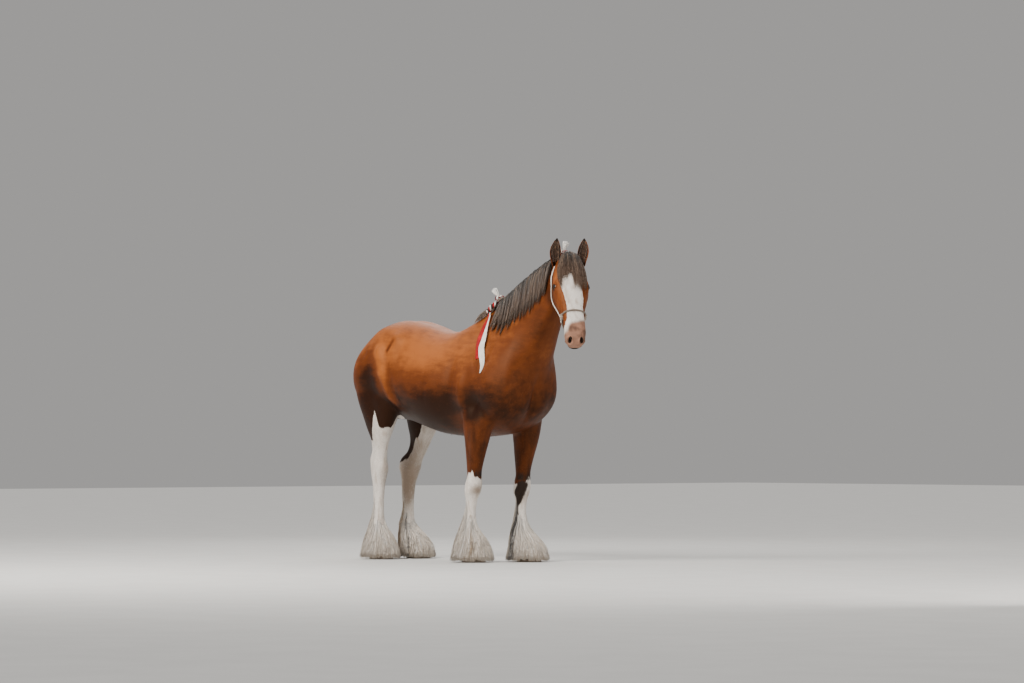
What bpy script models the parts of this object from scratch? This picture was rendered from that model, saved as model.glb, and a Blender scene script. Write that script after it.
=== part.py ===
"""A life-size Clydesdale mare that stands with her head turned to her right.

Sizes are in metres. +X runs towards her chest, +Y to her left and +Z up. Shapes are laid out
with the middle of her trunk at X = 0, and put() then moves them so that the origin lies on the
ground under the middle of the whole.
"""

import math

import bmesh
import bpy
import numpy as np
from mathutils import Matrix, Vector
from mathutils.bvhtree import BVHTree

# Place of the origin in the layout, on the ground under the middle of the whole.
ORIGIN = np.array([0.2821, 0.000, 0.0])
GAP = 0.0003
# Clearance of a second cut, smaller so that it never meets the faces of the first.
LATE_GAP = 0.00021
# Points closer than WELD count as one; HAIR is the step by which a Boolean is tried again.
WELD = 0.000002
HAIR = 0.00012
TRIES = 8

# Trunk, from the rump to the poll. Each row is one section of the straightened horse: the x and
# z of its top, the x and z of its bottom, then its half widths at the shares DEPTHS of its depth.
DEPTHS = (0.03, 0.14, 0.34, 0.58, 0.80, 0.95)
TRUNK = (
    (-0.900, 1.400, -0.885, 1.240, 0.020, 0.050, 0.070, 0.070, 0.050, 0.020),
    (-0.862, 1.475, -0.860, 1.130, 0.060, 0.120, 0.180, 0.190, 0.150, 0.080),
    (-0.790, 1.555, -0.770, 1.040, 0.080, 0.172, 0.255, 0.270, 0.220, 0.110),
    (-0.670, 1.630, -0.640, 1.000, 0.115, 0.225, 0.305, 0.320, 0.250, 0.110),
    (-0.520, 1.690, -0.500, 0.990, 0.135, 0.260, 0.325, 0.335, 0.255, 0.110),
    (-0.380, 1.700, -0.380, 0.975, 0.140, 0.265, 0.330, 0.325, 0.260, 0.120),
    (-0.220, 1.668, -0.220, 0.935, 0.130, 0.240, 0.315, 0.335, 0.280, 0.135),
    (-0.040, 1.622, -0.050, 0.895, 0.110, 0.225, 0.315, 0.350, 0.295, 0.145),
    (0.120, 1.612, 0.120, 0.875, 0.090, 0.205, 0.310, 0.345, 0.285, 0.140),
    (0.260, 1.660, 0.290, 0.868, 0.060, 0.155, 0.270, 0.315, 0.260, 0.130),
    (0.390, 1.722, 0.460, 0.870, 0.036, 0.105, 0.230, 0.295, 0.250, 0.130),
    (0.520, 1.782, 0.635, 0.893, 0.028, 0.085, 0.200, 0.290, 0.265, 0.180),
    (0.630, 1.850, 0.780, 0.965, 0.028, 0.075, 0.165, 0.268, 0.282, 0.210),
    (0.740, 1.915, 0.880, 1.090, 0.027, 0.065, 0.130, 0.212, 0.243, 0.200),
    (0.860, 1.980, 0.938, 1.272, 0.026, 0.060, 0.105, 0.148, 0.156, 0.104),
    (0.990, 2.046, 1.018, 1.448, 0.025, 0.055, 0.090, 0.115, 0.120, 0.080),
    (1.115, 2.098, 1.094, 1.602, 0.025, 0.052, 0.085, 0.100, 0.100, 0.065),
    (1.220, 2.130, 1.160, 1.735, 0.027, 0.055, 0.085, 0.095, 0.090, 0.060),
    (1.300, 2.116, 1.222, 1.850, 0.028, 0.050, 0.075, 0.080, 0.075, 0.045),
    (1.335, 2.065, 1.270, 1.900, 0.020, 0.035, 0.050, 0.050, 0.040, 0.020),
)

# The neck bends to her right from NECK_FROM to NECK_TO, and the head turns at the poll.
NECK_FROM, NECK_TO = 0.60, 1.23
NECK_TURN = math.radians(-2)
POLL_TURN = math.radians(34)
POLL_JOINT_X = 1.235

# Head: rows of its place along the face, the front and back of its depth, then half widths.
POLL = (1.330, 2.105)
FACE_LEAN = math.radians(26)
# How far the face leans to her left for each metre along it.
FACE_SWAY = 0.006
HEAD_DEPTHS = (0.05, 0.20, 0.42, 0.66, 0.90)
HEAD = (
    (-0.032, -0.085, -0.125, 0.010, 0.020, 0.026, 0.020, 0.010),
    (-0.018, -0.045, -0.165, 0.036, 0.058, 0.064, 0.060, 0.036),
    (0.030, -0.017, -0.210, 0.060, 0.088, 0.090, 0.082, 0.052),
    (0.090, -0.003, -0.250, 0.078, 0.110, 0.108, 0.100, 0.066),
    (0.150, 0.006, -0.270, 0.085, 0.120, 0.116, 0.110, 0.074),
    (0.210, 0.010, -0.276, 0.084, 0.122, 0.120, 0.114, 0.078),
    (0.270, 0.009, -0.268, 0.076, 0.112, 0.115, 0.109, 0.074),
    (0.330, 0.006, -0.246, 0.067, 0.099, 0.103, 0.096, 0.064),
    (0.390, 0.004, -0.216, 0.060, 0.088, 0.090, 0.080, 0.052),
    (0.450, 0.004, -0.188, 0.056, 0.080, 0.081, 0.068, 0.045),
    (0.500, 0.003, -0.170, 0.054, 0.076, 0.076, 0.062, 0.041),
    (0.545, 0.000, -0.157, 0.052, 0.073, 0.074, 0.059, 0.039),
    (0.585, -0.006, -0.152, 0.051, 0.071, 0.072, 0.057, 0.038),
    (0.618, -0.018, -0.150, 0.044, 0.061, 0.063, 0.051, 0.035),
    (0.645, -0.038, -0.140, 0.034, 0.048, 0.050, 0.042, 0.027),
    (0.658, -0.066, -0.122, 0.017, 0.026, 0.028, 0.025, 0.013),
)
EYE_AT = (0.222, -0.050, 0.099)
EYE_RADIUS = 0.0240
EYE_FORWARD = math.radians(34)
ORBIT = (0.050, 0.033, 0.036)
LID_OPENING = (0.0205, 0.0135)
NOSTRIL_AT = (0.618, -0.034, 0.046)
NOSTRIL_SIZE = (0.026, 0.018, 0.012)
MOUTH_LINE = (0.570, 0.695, -0.104)
MOUTH_GROOVE = (0.0032, 0.009)
CHIN = (0.606, -0.142, 0.031)
EAR_AT = (0.045, -0.078, 0.086)
EAR_LENGTH = 0.190
# How far both tips lean to her left, as a share of the ear's length.
EAR_LEAN = 0.065
# Ear: shares of its length, half width, depth of the cup behind the edges, edge thickness.
EAR = (
    (0.00, 0.027, 0.026, 0.012),
    (0.16, 0.030, 0.028, 0.008),
    (0.34, 0.037, 0.029, 0.006),
    (0.52, 0.039, 0.026, 0.005),
    (0.70, 0.033, 0.020, 0.005),
    (0.86, 0.020, 0.012, 0.004),
    (0.96, 0.008, 0.006, 0.003),
    (1.00, 0.003, 0.003, 0.001),
)

# Legs: rows of height, then the half sizes forward, backward, outward and inward.
FORE_LEG = (
    (1.140, 0.140, 0.170, 0.075, 0.070),
    (1.020, 0.140, 0.150, 0.090, 0.078),
    (0.930, 0.120, 0.130, 0.088, 0.074),
    (0.840, 0.100, 0.102, 0.079, 0.066),
    (0.740, 0.083, 0.080, 0.067, 0.057),
    (0.640, 0.064, 0.062, 0.055, 0.048),
    (0.575, 0.062, 0.060, 0.055, 0.052),
    (0.525, 0.066, 0.062, 0.060, 0.058),
    (0.475, 0.060, 0.062, 0.056, 0.055),
    (0.430, 0.047, 0.052, 0.044, 0.042),
    (0.350, 0.041, 0.047, 0.037, 0.036),
    (0.275, 0.044, 0.052, 0.040, 0.040),
    (0.225, 0.052, 0.064, 0.050, 0.050),
    (0.180, 0.050, 0.058, 0.049, 0.049),
    (0.140, 0.054, 0.052, 0.050, 0.050),
    (0.105, 0.066, 0.062, 0.066, 0.064),
    (0.080, 0.070, 0.065, 0.068, 0.066),
)
HIND_LEG = (
    (1.340, 0.200, 0.200, 0.120, 0.100),
    (1.220, 0.215, 0.215, 0.125, 0.110),
    (1.120, 0.205, 0.190, 0.120, 0.105),
    (1.030, 0.175, 0.158, 0.108, 0.092),
    (0.940, 0.138, 0.122, 0.092, 0.075),
    (0.850, 0.100, 0.086, 0.068, 0.053),
    (0.770, 0.080, 0.084, 0.056, 0.047),
    (0.710, 0.074, 0.108, 0.056, 0.050),
    (0.655, 0.080, 0.100, 0.060, 0.057),
    (0.595, 0.068, 0.074, 0.057, 0.054),
    (0.530, 0.055, 0.062, 0.048, 0.045),
    (0.430, 0.048, 0.057, 0.040, 0.039),
    (0.320, 0.045, 0.052, 0.040, 0.040),
    (0.255, 0.053, 0.064, 0.050, 0.050),
    (0.205, 0.052, 0.058, 0.049, 0.049),
    (0.155, 0.055, 0.052, 0.050, 0.050),
    (0.115, 0.066, 0.062, 0.064, 0.062),
    (0.085, 0.070, 0.065, 0.067, 0.065),
)
FORE_JOINTS = (1.14, 0.93, 0.70, 0.57, 0.49, 0.36, 0.225, 0.080)
HIND_JOINTS = (1.34, 1.05, 0.91, 0.79, 0.655, 0.50, 0.245, 0.085)
# Each leg: its side, its rows, its joint heights, and the x and y of its axis at each joint.
LEGS = {
    "fore_right": (-1, FORE_LEG, FORE_JOINTS,
                   (0.560, 0.545, 0.498, 0.477, 0.458, 0.440, 0.424, 0.452),
                   (0.190, 0.205, 0.197, 0.192, 0.190, 0.187, 0.185, 0.185)),
    "fore_left": (1, FORE_LEG, FORE_JOINTS,
                  (0.600, 0.572, 0.556, 0.552, 0.546, 0.546, 0.560, 0.622),
                  (0.190, 0.200, 0.188, 0.182, 0.179, 0.177, 0.175, 0.175)),
    "hind_right": (-1, HIND_LEG, HIND_JOINTS,
                   (-0.620, -0.570, -0.582, -0.592, -0.614, -0.622, -0.630, -0.608),
                   (0.170, 0.190, 0.182, 0.174, 0.165, 0.163, 0.160, 0.160)),
    "hind_left": (1, HIND_LEG, HIND_JOINTS,
                  (-0.620, -0.572, -0.572, -0.594, -0.672, -0.694, -0.690, -0.600),
                  (0.170, 0.190, 0.182, 0.174, 0.165, 0.163, 0.160, 0.160)),
}
# How far each pair's toes turn out, reached below the elbow and the stifle.
TOE_OUT = {"fore": math.radians(4), "hind": math.radians(16)}
LEG_TOP = {"fore": 0.862, "hind": 0.955}
SHANK_TOP = {"fore": 0.440, "hind": 0.545}
CORONET = 0.096
HOOF_SOLE = (0.098, 0.076, 0.084)
HOOF_CROWN = (0.068, 0.066, 0.068)

BODY_VOXEL = 0.018
BODY_TRIANGLES = 3000
# Faces that meet at less than this angle are made one.
FLAT = math.radians(1.5)

# Hair: seed, then for each kind the number of locks and their sizes.
SEED = 41
LOCK_STEPS = 3
MANE_LOCKS = 12
MANE_FROM_X, MANE_TO_X = 0.600, 1.130
MANE_WIDTH, MANE_DEPTH = 0.034, 0.013
MANE_ACROSS = (0.87, 0.0, 0.50)
WITHERS_LOCKS = 4
FORELOCK_LOCKS = 12
FORELOCK_WIDTH, FORELOCK_DEPTH = 0.021, 0.012
FEATHER_LOCKS = 12
FEATHER_WIDTH, FEATHER_DEPTH = 0.033, 0.014
FEATHER_REACH = {"fore": (0.176, 0.176, 0.160), "hind": (0.166, 0.172, 0.150)}
# Each tier: the height of its roots and tips, its share of the reach, and its outward curve.
FEATHER_TIERS = ((0.285, 0.062, 0.80, 0.85), (0.132, 0.006, 1.0, 0.52))
TAIL_TOP, TAIL_LENGTH = (-0.868, 1.500), 0.20
TAIL_LOCKS = 12
TAIL_WIDTH, TAIL_DEPTH = 0.026, 0.014
PLUME_LOCKS = 7

# What she wears.
STRAP = (0.016, 0.005)
NOSE_ROPE = 0.0085
RING_RADIUS, RING_WIRE = 0.019, 0.0035
BRAID_RADIUS, BRAID_TURNS = 0.015, 3.5
RIBBON_THICK = 0.0022


def material(name, colour, roughness, metallic=0.0):
    made = bpy.data.materials.new(name)
    made.use_nodes = True
    shader = made.node_tree.nodes["Principled BSDF"]
    shader.inputs["Base Color"].default_value = (*colour, 1.0)
    shader.inputs["Roughness"].default_value = roughness
    shader.inputs["Metallic"].default_value = metallic
    return made


def spline(rows, places):
    """Catmull-Rom curve through the rows, read at the places, which count rows."""
    rows = np.asarray(rows, float)
    places = np.asarray(places, float)
    last = len(rows) - 1
    i = np.clip(np.floor(places).astype(int), 0, last - 1)
    t = (places - i).reshape((-1,) + (1,) * (rows.ndim - 1))
    a, b = rows[np.clip(i - 1, 0, last)], rows[i]
    c, d = rows[i + 1], rows[np.clip(i + 2, 0, last)]
    return b + 0.5 * t * (c - a + t * (2 * a - 5 * b + 4 * c - d + t * (3 * (b - c) + d - a)))


def spline_ring(rings, around):
    """Reads closed rings of control points at the shares around of one turn."""
    rings = np.asarray(rings, float)
    count = rings.shape[1]
    wrapped = np.concatenate([rings[:, -2:], rings, rings[:, :3]], axis=1)
    places = 2 + np.asarray(around, float) % 1.0 * count
    return np.swapaxes(spline(np.swapaxes(wrapped, 0, 1), places), 0, 1)


def smoothstep(low, high, x):
    t = np.clip((np.asarray(x, float) - low) / (high - low), 0, 1)
    return t * t * (3 - 2 * t)


def neck_bend(x_mid):
    """Where a section of the straight neck goes: the x and y of its middle, and its turn."""
    steps = np.linspace(NECK_FROM, max(x_mid, NECK_FROM + 1e-6), 40)
    turns = -NECK_TURN * smoothstep(NECK_FROM, NECK_TO, steps)
    step = steps[1] - steps[0]
    x = NECK_FROM + np.sum(np.cos(turns[:-1])) * step
    y = np.sum(np.sin(turns[:-1])) * step
    return (x, y, turns[-1]) if x_mid > NECK_FROM else (x_mid, 0.0, 0.0)


def turned(points, x_mid, to_x, to_y, angle):
    """Turns points about the upright line through x_mid and carries that line to to_x, to_y."""
    points = np.asarray(points, float)
    x, y = points[..., 0] - x_mid, points[..., 1]
    c, s = math.cos(angle), math.sin(angle)
    return np.stack([to_x + c * x - s * y, to_y + s * x + c * y, points[..., 2]], axis=-1)


def depth_ring(top, bottom, depths, widths):
    """Control points of one section: down its right side (-Y) and up its left."""
    top, bottom = np.asarray(top, float), np.asarray(bottom, float)
    side = np.array([top + (bottom - top) * d for d in depths])
    across = np.array([[0.0, w, 0.0] for w in widths])
    return np.vstack([[top], side - across, [bottom], (side + across)[::-1]])


def trunk_net():
    rings = []
    for row in TRUNK:
        ring = depth_ring((row[0], 0, row[1]), (row[2], 0, row[3]), DEPTHS, row[4:])
        x_mid = (row[0] + row[2]) / 2
        rings.append(turned(ring, x_mid, *neck_bend(x_mid)))
    return np.array(rings)


def head_point(along, front, across):
    """A point of the straight head, from its place along the face, its height off the face
    line and its place across."""
    c, s = math.cos(FACE_LEAN), math.sin(FACE_LEAN)
    along, front, across = np.broadcast_arrays(along, front, across)
    across = across + FACE_SWAY * along
    x = POLL[0] + s * along + c * front
    z = POLL[1] - c * along + s * front
    return np.stack([x, across, z], axis=-1)


def on_head(points):
    """Turns points of the straight head at the poll, then with the bent neck."""
    at_poll = turned(points, POLL_JOINT_X, POLL_JOINT_X, 0.0, -POLL_TURN)
    return turned(at_poll, POLL_JOINT_X, *neck_bend(POLL_JOINT_X))


def head_net():
    rings = []
    for along, front, back, *widths in HEAD:
        ring = depth_ring((along, 0, front), (along, 0, back), HEAD_DEPTHS, widths)
        rings.append(head_point(ring[:, 0], ring[:, 2], ring[:, 1]))
    return np.array(rings)


def surface(net, along, around):
    """Grid of points on the smooth surface through a net of rings."""
    return spline_ring(spline(net, along), around)


def put(points):
    return np.asarray(points, float) - ORIGIN


def mesh_object(name, points, faces, finish=None):
    mesh = bpy.data.meshes.new(name)
    mesh.from_pydata([tuple(p) for p in points], [], [tuple(f) for f in faces])
    mesh.update()
    made = bpy.data.objects.new(name, mesh)
    bpy.context.scene.collection.objects.link(made)
    if finish:
        mesh.materials.append(finish)
    bm = bmesh.new()
    bm.from_mesh(mesh)
    bmesh.ops.triangulate(bm, faces=bm.faces)
    bmesh.ops.recalc_face_normals(bm, faces=bm.faces)
    bm.to_mesh(mesh)
    bm.free()
    return made


def tube_faces(rings, around):
    """Quads between rings of points and a face at each end."""
    faces = [
        (i * around + j, i * around + (j + 1) % around,
         (i + 1) * around + (j + 1) % around, (i + 1) * around + j)
        for i in range(rings - 1) for j in range(around)
    ]
    faces.append(tuple(range(around))[::-1])
    faces.append(tuple((rings - 1) * around + j for j in range(around)))
    return faces


def loft(name, rings, finish=None):
    """A closed solid through rings of points, with flat ends."""
    rings = np.asarray(rings, float)
    count, around = rings.shape[:2]
    return mesh_object(name, rings.reshape(-1, 3), tube_faces(count, around), finish)


def leg_axis(leg, heights):
    """The x and y of a leg's axis at the heights."""
    side, _, joints, xs, ys = LEGS[leg]
    order = np.argsort(joints)
    z = np.array(joints)[order]
    x = np.interp(heights, z, np.array(xs)[order])
    y = np.interp(heights, z, np.array(ys)[order])
    return x, side * y


def leg_turn(leg, z):
    """How far a leg's section at a height is turned about its axis."""
    return LEGS[leg][0] * TOE_OUT[leg.split("_")[0]] * (1 - smoothstep(0.70, 1.05, z))


def leg_net(leg):
    side, rows = LEGS[leg][:2]
    rings = []
    for z, front, back, out, inner in rows:
        x, y = leg_axis(leg, z)
        angle = float(leg_turn(leg, z))
        ring = []
        for turn in np.arange(10) / 10 * 2 * math.pi:
            c, s = math.cos(turn), math.sin(turn)
            ahead = (front if c > 0 else back) * c
            beside = side * (out if s > 0 else inner) * s
            ring.append((x + ahead * math.cos(angle) - beside * math.sin(angle),
                         y + ahead * math.sin(angle) + beside * math.cos(angle), z))
        rings.append(ring)
    return np.array(rings)


def select(obj):
    bpy.ops.object.select_all(action="DESELECT")
    obj.select_set(True)
    bpy.context.view_layer.objects.active = obj


def apply_modifiers(obj):
    select(obj)
    for modifier in list(obj.modifiers):
        bpy.ops.object.modifier_apply(modifier=modifier.name)


def joined(name, objects):
    bpy.ops.object.select_all(action="DESELECT")
    for obj in objects:
        obj.select_set(True)
    bpy.context.view_layer.objects.active = objects[0]
    bpy.ops.object.join()
    objects[0].name = name
    return objects[0]


def copied(obj, name):
    twin = obj.copy()
    twin.data = obj.data.copy()
    twin.name = name
    bpy.context.scene.collection.objects.link(twin)
    return twin


def grown(obj, by):
    """A copy whose surface stands out by that much."""
    twin = copied(obj, "grown")
    bm = bmesh.new()
    bm.from_mesh(twin.data)
    bm.normal_update()
    shifts = [v.normal * by for v in bm.verts]
    for vert, shift in zip(bm.verts, shifts):
        vert.co += shift
    bm.to_mesh(twin.data)
    bm.free()
    return twin


def boolean(obj, operation, others, solver="EXACT"):
    """Applies one Boolean with all the others, and removes them."""
    group = bpy.data.collections.new("operands")
    bpy.context.scene.collection.children.link(group)
    for other in others:
        for home in list(other.users_collection):
            home.objects.unlink(other)
        group.objects.link(other)
    for way in (solver, "EXACT"):
        modifier = obj.modifiers.new(operation, "BOOLEAN")
        modifier.operation = operation
        modifier.operand_type = "COLLECTION"
        modifier.collection = group
        modifier.solver = way
        bpy.context.view_layer.update()
        try:
            apply_modifiers(obj)
        except RuntimeError:
            pass
        if not obj.modifiers:
            break
        obj.modifiers.clear()
    for other in others:
        bpy.data.objects.remove(other)
    bpy.data.collections.remove(group)
    return obj


def tidied(mesh, merge, flat):
    """The mesh with close points merged, flat faces joined and all faces cut to triangles."""
    bm = bmesh.new()
    bm.from_mesh(mesh)
    if merge:
        bmesh.ops.remove_doubles(bm, verts=bm.verts, dist=merge)
    if flat:
        bmesh.ops.dissolve_limit(bm, angle_limit=flat, verts=bm.verts, edges=bm.edges)
    bmesh.ops.triangulate(bm, faces=bm.faces)
    return bm


def sound(mesh):
    """Whether the surface is closed and touches itself along no edge."""
    bm = bmesh.new()
    bm.from_mesh(mesh)
    bmesh.ops.remove_doubles(bm, verts=bm.verts, dist=WELD)
    good = all(edge.is_manifold for edge in bm.edges)
    good = good and all(face.calc_area() > 1e-13 for face in bm.faces)
    bm.free()
    return good


def keep_largest(obj):
    """Tidies as far as the surface stays sound, and keeps its largest closed piece."""
    source = obj.data.copy()
    for merge, flat in ((2e-5, FLAT), (2e-5, FLAT / 4), (5e-6, 0), (1e-6, 0), (0, 0)):
        bm = tidied(source, merge, flat)
        left, shells = set(bm.faces), []
        while left:
            shell, front = set(), [left.pop()]
            while front:
                face = front.pop()
                shell.add(face)
                for edge in face.edges:
                    for other in edge.link_faces:
                        if other in left:
                            left.discard(other)
                            front.append(other)
            shells.append(shell)
        largest = max(shells, key=len)
        spare = [face for shell in shells if shell is not largest for face in shell]
        bmesh.ops.delete(bm, geom=spare, context="FACES")
        loose = [v for v in bm.verts if not v.link_faces]
        bmesh.ops.delete(bm, geom=loose, context="VERTS")
        bm.to_mesh(obj.data)
        bm.free()
        if sound(obj.data):
            break
    bpy.data.meshes.remove(source)
    return obj


def settled(obj, operation, operands):
    """Repeats a Boolean, its operands a hair different each time, until the surface is sound."""
    for turn in range(TRIES):
        trial = copied(obj, "trial")
        boolean(trial, operation, operands(turn), "MANIFOLD")
        keep_largest(trial)
        done = sound(trial.data)
        if done or turn == TRIES - 1:
            obj.data = trial.data
        bpy.data.objects.remove(trial)
        if done:
            return obj
    print("still touches itself:", obj.name, operation)
    return obj


def fused(obj, locks):
    """Joins locks to what they grow from."""
    def shifted(turn):
        twins = [copied(lock_solid, "lock") for lock_solid in locks]
        for k, twin in enumerate(twins):
            twin.data.transform(Matrix.Translation(
                Vector((math.sin(k * 7 + turn), math.cos(k * 5 + turn), -0.6)) * HAIR * turn))
        return twins
    settled(obj, "UNION", shifted)
    for lock_solid in locks:
        bpy.data.objects.remove(lock_solid)
    return obj


def block(low, high):
    """A box between two corners of the layout."""
    low, high = np.array(low), np.array(high)
    bpy.ops.mesh.primitive_cube_add(size=1, location=put((low + high) / 2))
    made = bpy.context.object
    made.scale = high - low
    select(made)
    bpy.ops.object.transform_apply(location=True, rotation=True, scale=True)
    return made


def ahead_of(plane, slack):
    """A large box that fills what lies ahead of the slanted plane between neck and torso."""
    top, bottom = np.array(plane[0]), np.array(plane[1])
    down = (bottom - top) / np.linalg.norm(bottom - top)
    ahead = np.array([-down[1], down[0]])
    ahead = ahead if ahead[0] > 0 else -ahead
    reach = 1.2
    start = (top + bottom) / 2 + ahead * slack
    corners = []
    for forward in (0.0, reach):
        for along in (-reach, reach):
            at = start + ahead * forward + down * along
            corners += [(at[0], -reach, at[1]), (at[0], reach, at[1])]
    faces = [(0, 1, 3, 2), (4, 6, 7, 5), (0, 4, 5, 1), (2, 3, 7, 6), (0, 2, 6, 4), (1, 5, 7, 3)]
    return mesh_object("ahead", put(corners), faces)


def flesh():
    """Trunk, neck and legs as one smooth closed body."""
    net = trunk_net()
    pieces = [loft("trunk", put(surface(net, np.linspace(0, len(net) - 1, 90),
                                        np.arange(48) / 48)))]
    for leg in LEGS:
        rings = leg_net(leg)
        along = np.linspace(0, len(rings) - 1, 60)
        pieces.append(loft(leg, put(surface(rings, along, np.arange(24) / 24))))
    body = joined("flesh", pieces)
    remesh = body.modifiers.new("fuse", "REMESH")
    remesh.mode = "VOXEL"
    remesh.voxel_size = BODY_VOXEL
    apply_modifiers(body)
    heights = np.array([v.co.z for v in body.data.vertices])
    strength = 0.12 + 0.88 * smoothstep(0.70, 0.95, heights)
    group = body.vertex_groups.new(name="blend")
    for index, weight in enumerate(strength):
        group.add([index], float(weight), "REPLACE")
    smooth = body.modifiers.new("blend", "SMOOTH")
    smooth.factor = 0.5
    smooth.iterations = 14
    smooth.vertex_group = "blend"
    decimate = body.modifiers.new("thin", "DECIMATE")
    decimate.ratio = BODY_TRIANGLES / (2 * len(body.data.polygons))
    apply_modifiers(body)
    return body


NECK_PLANE = ((0.470, 1.760), (0.905, 1.170))


def body_nodes(body, bay, white):
    """Parts the flesh with thin cuts."""
    reach = {"fore": (0.15, 1.0), "hind": (-1.2, -0.28)}
    inner = {"fore": 0.085, "hind": 0.004}
    made, cutters = {}, []
    for leg, (side, *_rest) in LEGS.items():
        end = leg.split("_")[0]
        y = sorted((side * inner[end], side * 0.6))
        low_x, high_x = reach[end]
        top, mid = LEG_TOP[end], SHANK_TOP[end]
        upper = copied(body, "leg_" + leg)
        boolean(upper, "INTERSECT", [block((low_x, y[0], mid + GAP), (high_x, y[1], top))])
        lower = copied(body, "shank_" + leg)
        boolean(lower, "INTERSECT", [block((low_x, y[0], CORONET + GAP), (high_x, y[1], mid))])
        made["leg_" + leg] = keep_largest(upper)
        made["shank_" + leg] = keep_largest(lower)
        wide = [y[0] - GAP, y[1] + GAP]
        cutters.append(block((low_x, wide[0], -0.1), (high_x, wide[1], top + GAP)))
    neck = copied(body, "neck")
    boolean(neck, "INTERSECT", [ahead_of(NECK_PLANE, GAP)])
    made["neck"] = keep_largest(neck)
    body.name = "torso"
    boolean(body, "DIFFERENCE", [ahead_of(NECK_PLANE, 0.0)])
    for cutter in cutters:
        boolean(body, "DIFFERENCE", [cutter])
    made["torso"] = keep_largest(body)
    for name, obj in made.items():
        obj.data.materials.clear()
        obj.data.materials.append(white if "shank" in name or "leg_hind" in name else bay)
    return made


def hoof(leg, finish):
    """A hoof from its flat sole up to the coronet, longer at the toe than at the heel."""
    x, y = leg_axis(leg, CORONET)
    angle = float(leg_turn(leg, CORONET))
    rings = []
    for share, z in ((0.0, 0.0), (0.12, 0.010), (1.0, CORONET - GAP)):
        front, back, half = (a + (b - a) * share for a, b in zip(HOOF_SOLE, HOOF_CROWN))
        shrink = 0.97 if z == 0.0 else 1.0
        ring = []
        for turn in np.arange(16) / 16 * 2 * math.pi:
            c, s = math.cos(turn), math.sin(turn)
            ahead = 0.012 * (1 - share) + shrink * (front if c > 0 else back) * c
            beside = shrink * half * s
            ring.append((x + ahead * math.cos(angle) - beside * math.sin(angle),
                         y + ahead * math.sin(angle) + beside * math.cos(angle), z))
        rings.append(ring)
    return loft("hoof_" + leg, put(rings), finish)


def head_solid(finish):
    net = head_net()
    along = np.linspace(0, len(net) - 1, 26)
    points = surface(net, along, np.arange(22) / 22)
    return loft("head", put(on_head(points)), finish)


def eyeball(side, finish):
    at = put(on_head(head_point(EYE_AT[0], EYE_AT[1], side * EYE_AT[2])))
    bpy.ops.mesh.primitive_uv_sphere_add(segments=12, ring_count=7, radius=EYE_RADIUS, location=at)
    made = bpy.context.object
    made.name = "eye_left" if side > 0 else "eye_right"
    made.data.materials.append(finish)
    select(made)
    bpy.ops.object.transform_apply(location=True, rotation=True, scale=True)
    return made


def head_axes(side, forward):
    """Axes of a thing on the side of the head: along the face, out and towards its front."""
    base = on_head(head_point(0.0, 0.0, 0.0))
    along = on_head(head_point(1.0, 0.0, 0.0)) - base
    front = on_head(head_point(0.0, 1.0, 0.0)) - base
    across = (on_head(head_point(0.0, 0.0, 1.0)) - base) * side
    out = across * math.cos(forward) + front * math.sin(forward)
    return along, out, np.cross(along, out)


def ellipsoid(at, axes, radii, segments=20, rings=10):
    bpy.ops.mesh.primitive_uv_sphere_add(segments=segments, ring_count=rings, radius=1)
    made = bpy.context.object
    unit = np.array([v.co for v in made.data.vertices])
    placed = put(at) + sum(unit[:, i:i + 1] * radii[i] * axes[i] for i in range(3))
    made.data.vertices.foreach_set("co", placed.ravel())
    made.data.update()
    return mesh_outward(made)


def mesh_outward(obj):
    bm = bmesh.new()
    bm.from_mesh(obj.data)
    bmesh.ops.triangulate(bm, faces=bm.faces)
    bmesh.ops.recalc_face_normals(bm, faces=bm.faces)
    bm.to_mesh(obj.data)
    bm.free()
    return obj


def finish_head(head, eyes):
    """Adds brows and chin, then cuts the lids open, the nostrils and the line of the mouth."""
    adds, cuts = [], []
    for side in (-1, 1):
        at = on_head(head_point(EYE_AT[0], EYE_AT[1], side * EYE_AT[2]))
        axes = head_axes(side, EYE_FORWARD)
        adds.append(ellipsoid(at, axes, ORBIT, 14, 8))
        slit = at + axes[1] * EYE_RADIUS * 1.25
        cuts.append(ellipsoid(slit, axes, (LID_OPENING[0], EYE_RADIUS * 0.8, LID_OPENING[1]), 12, 6))
        nostril = on_head(head_point(NOSTRIL_AT[0], NOSTRIL_AT[1], side * NOSTRIL_AT[2]))
        cuts.append(ellipsoid(nostril, head_axes(side, math.radians(40)), NOSTRIL_SIZE, 12, 6))
    axes = head_axes(1, 0.0)
    chin = on_head(head_point(CHIN[0], CHIN[1], 0.0))
    adds.append(ellipsoid(chin, axes, (CHIN[2] * 1.2, CHIN[2] * 1.3, CHIN[2]), 12, 6))
    boolean(head, "UNION", adds)
    corners = [
        put(on_head(head_point(along, MOUTH_LINE[2] + rise, across)))
        for along in MOUTH_LINE[:2] for rise in (-MOUTH_GROOVE[0], 0.0) for across in (-0.2, 0.2)
    ]
    faces = [(0, 1, 3, 2), (4, 6, 7, 5), (0, 4, 5, 1), (2, 3, 7, 6), (0, 2, 6, 4), (1, 5, 7, 3)]
    plate = mesh_object("mouth_line", corners, faces)
    boolean(plate, "DIFFERENCE", [grown(head, -MOUTH_GROOVE[1])])
    for cutter in [plate] + cuts + [grown(eye, GAP) for eye in eyes]:
        boolean(head, "DIFFERENCE", [cutter])
    return keep_largest(head)


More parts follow.
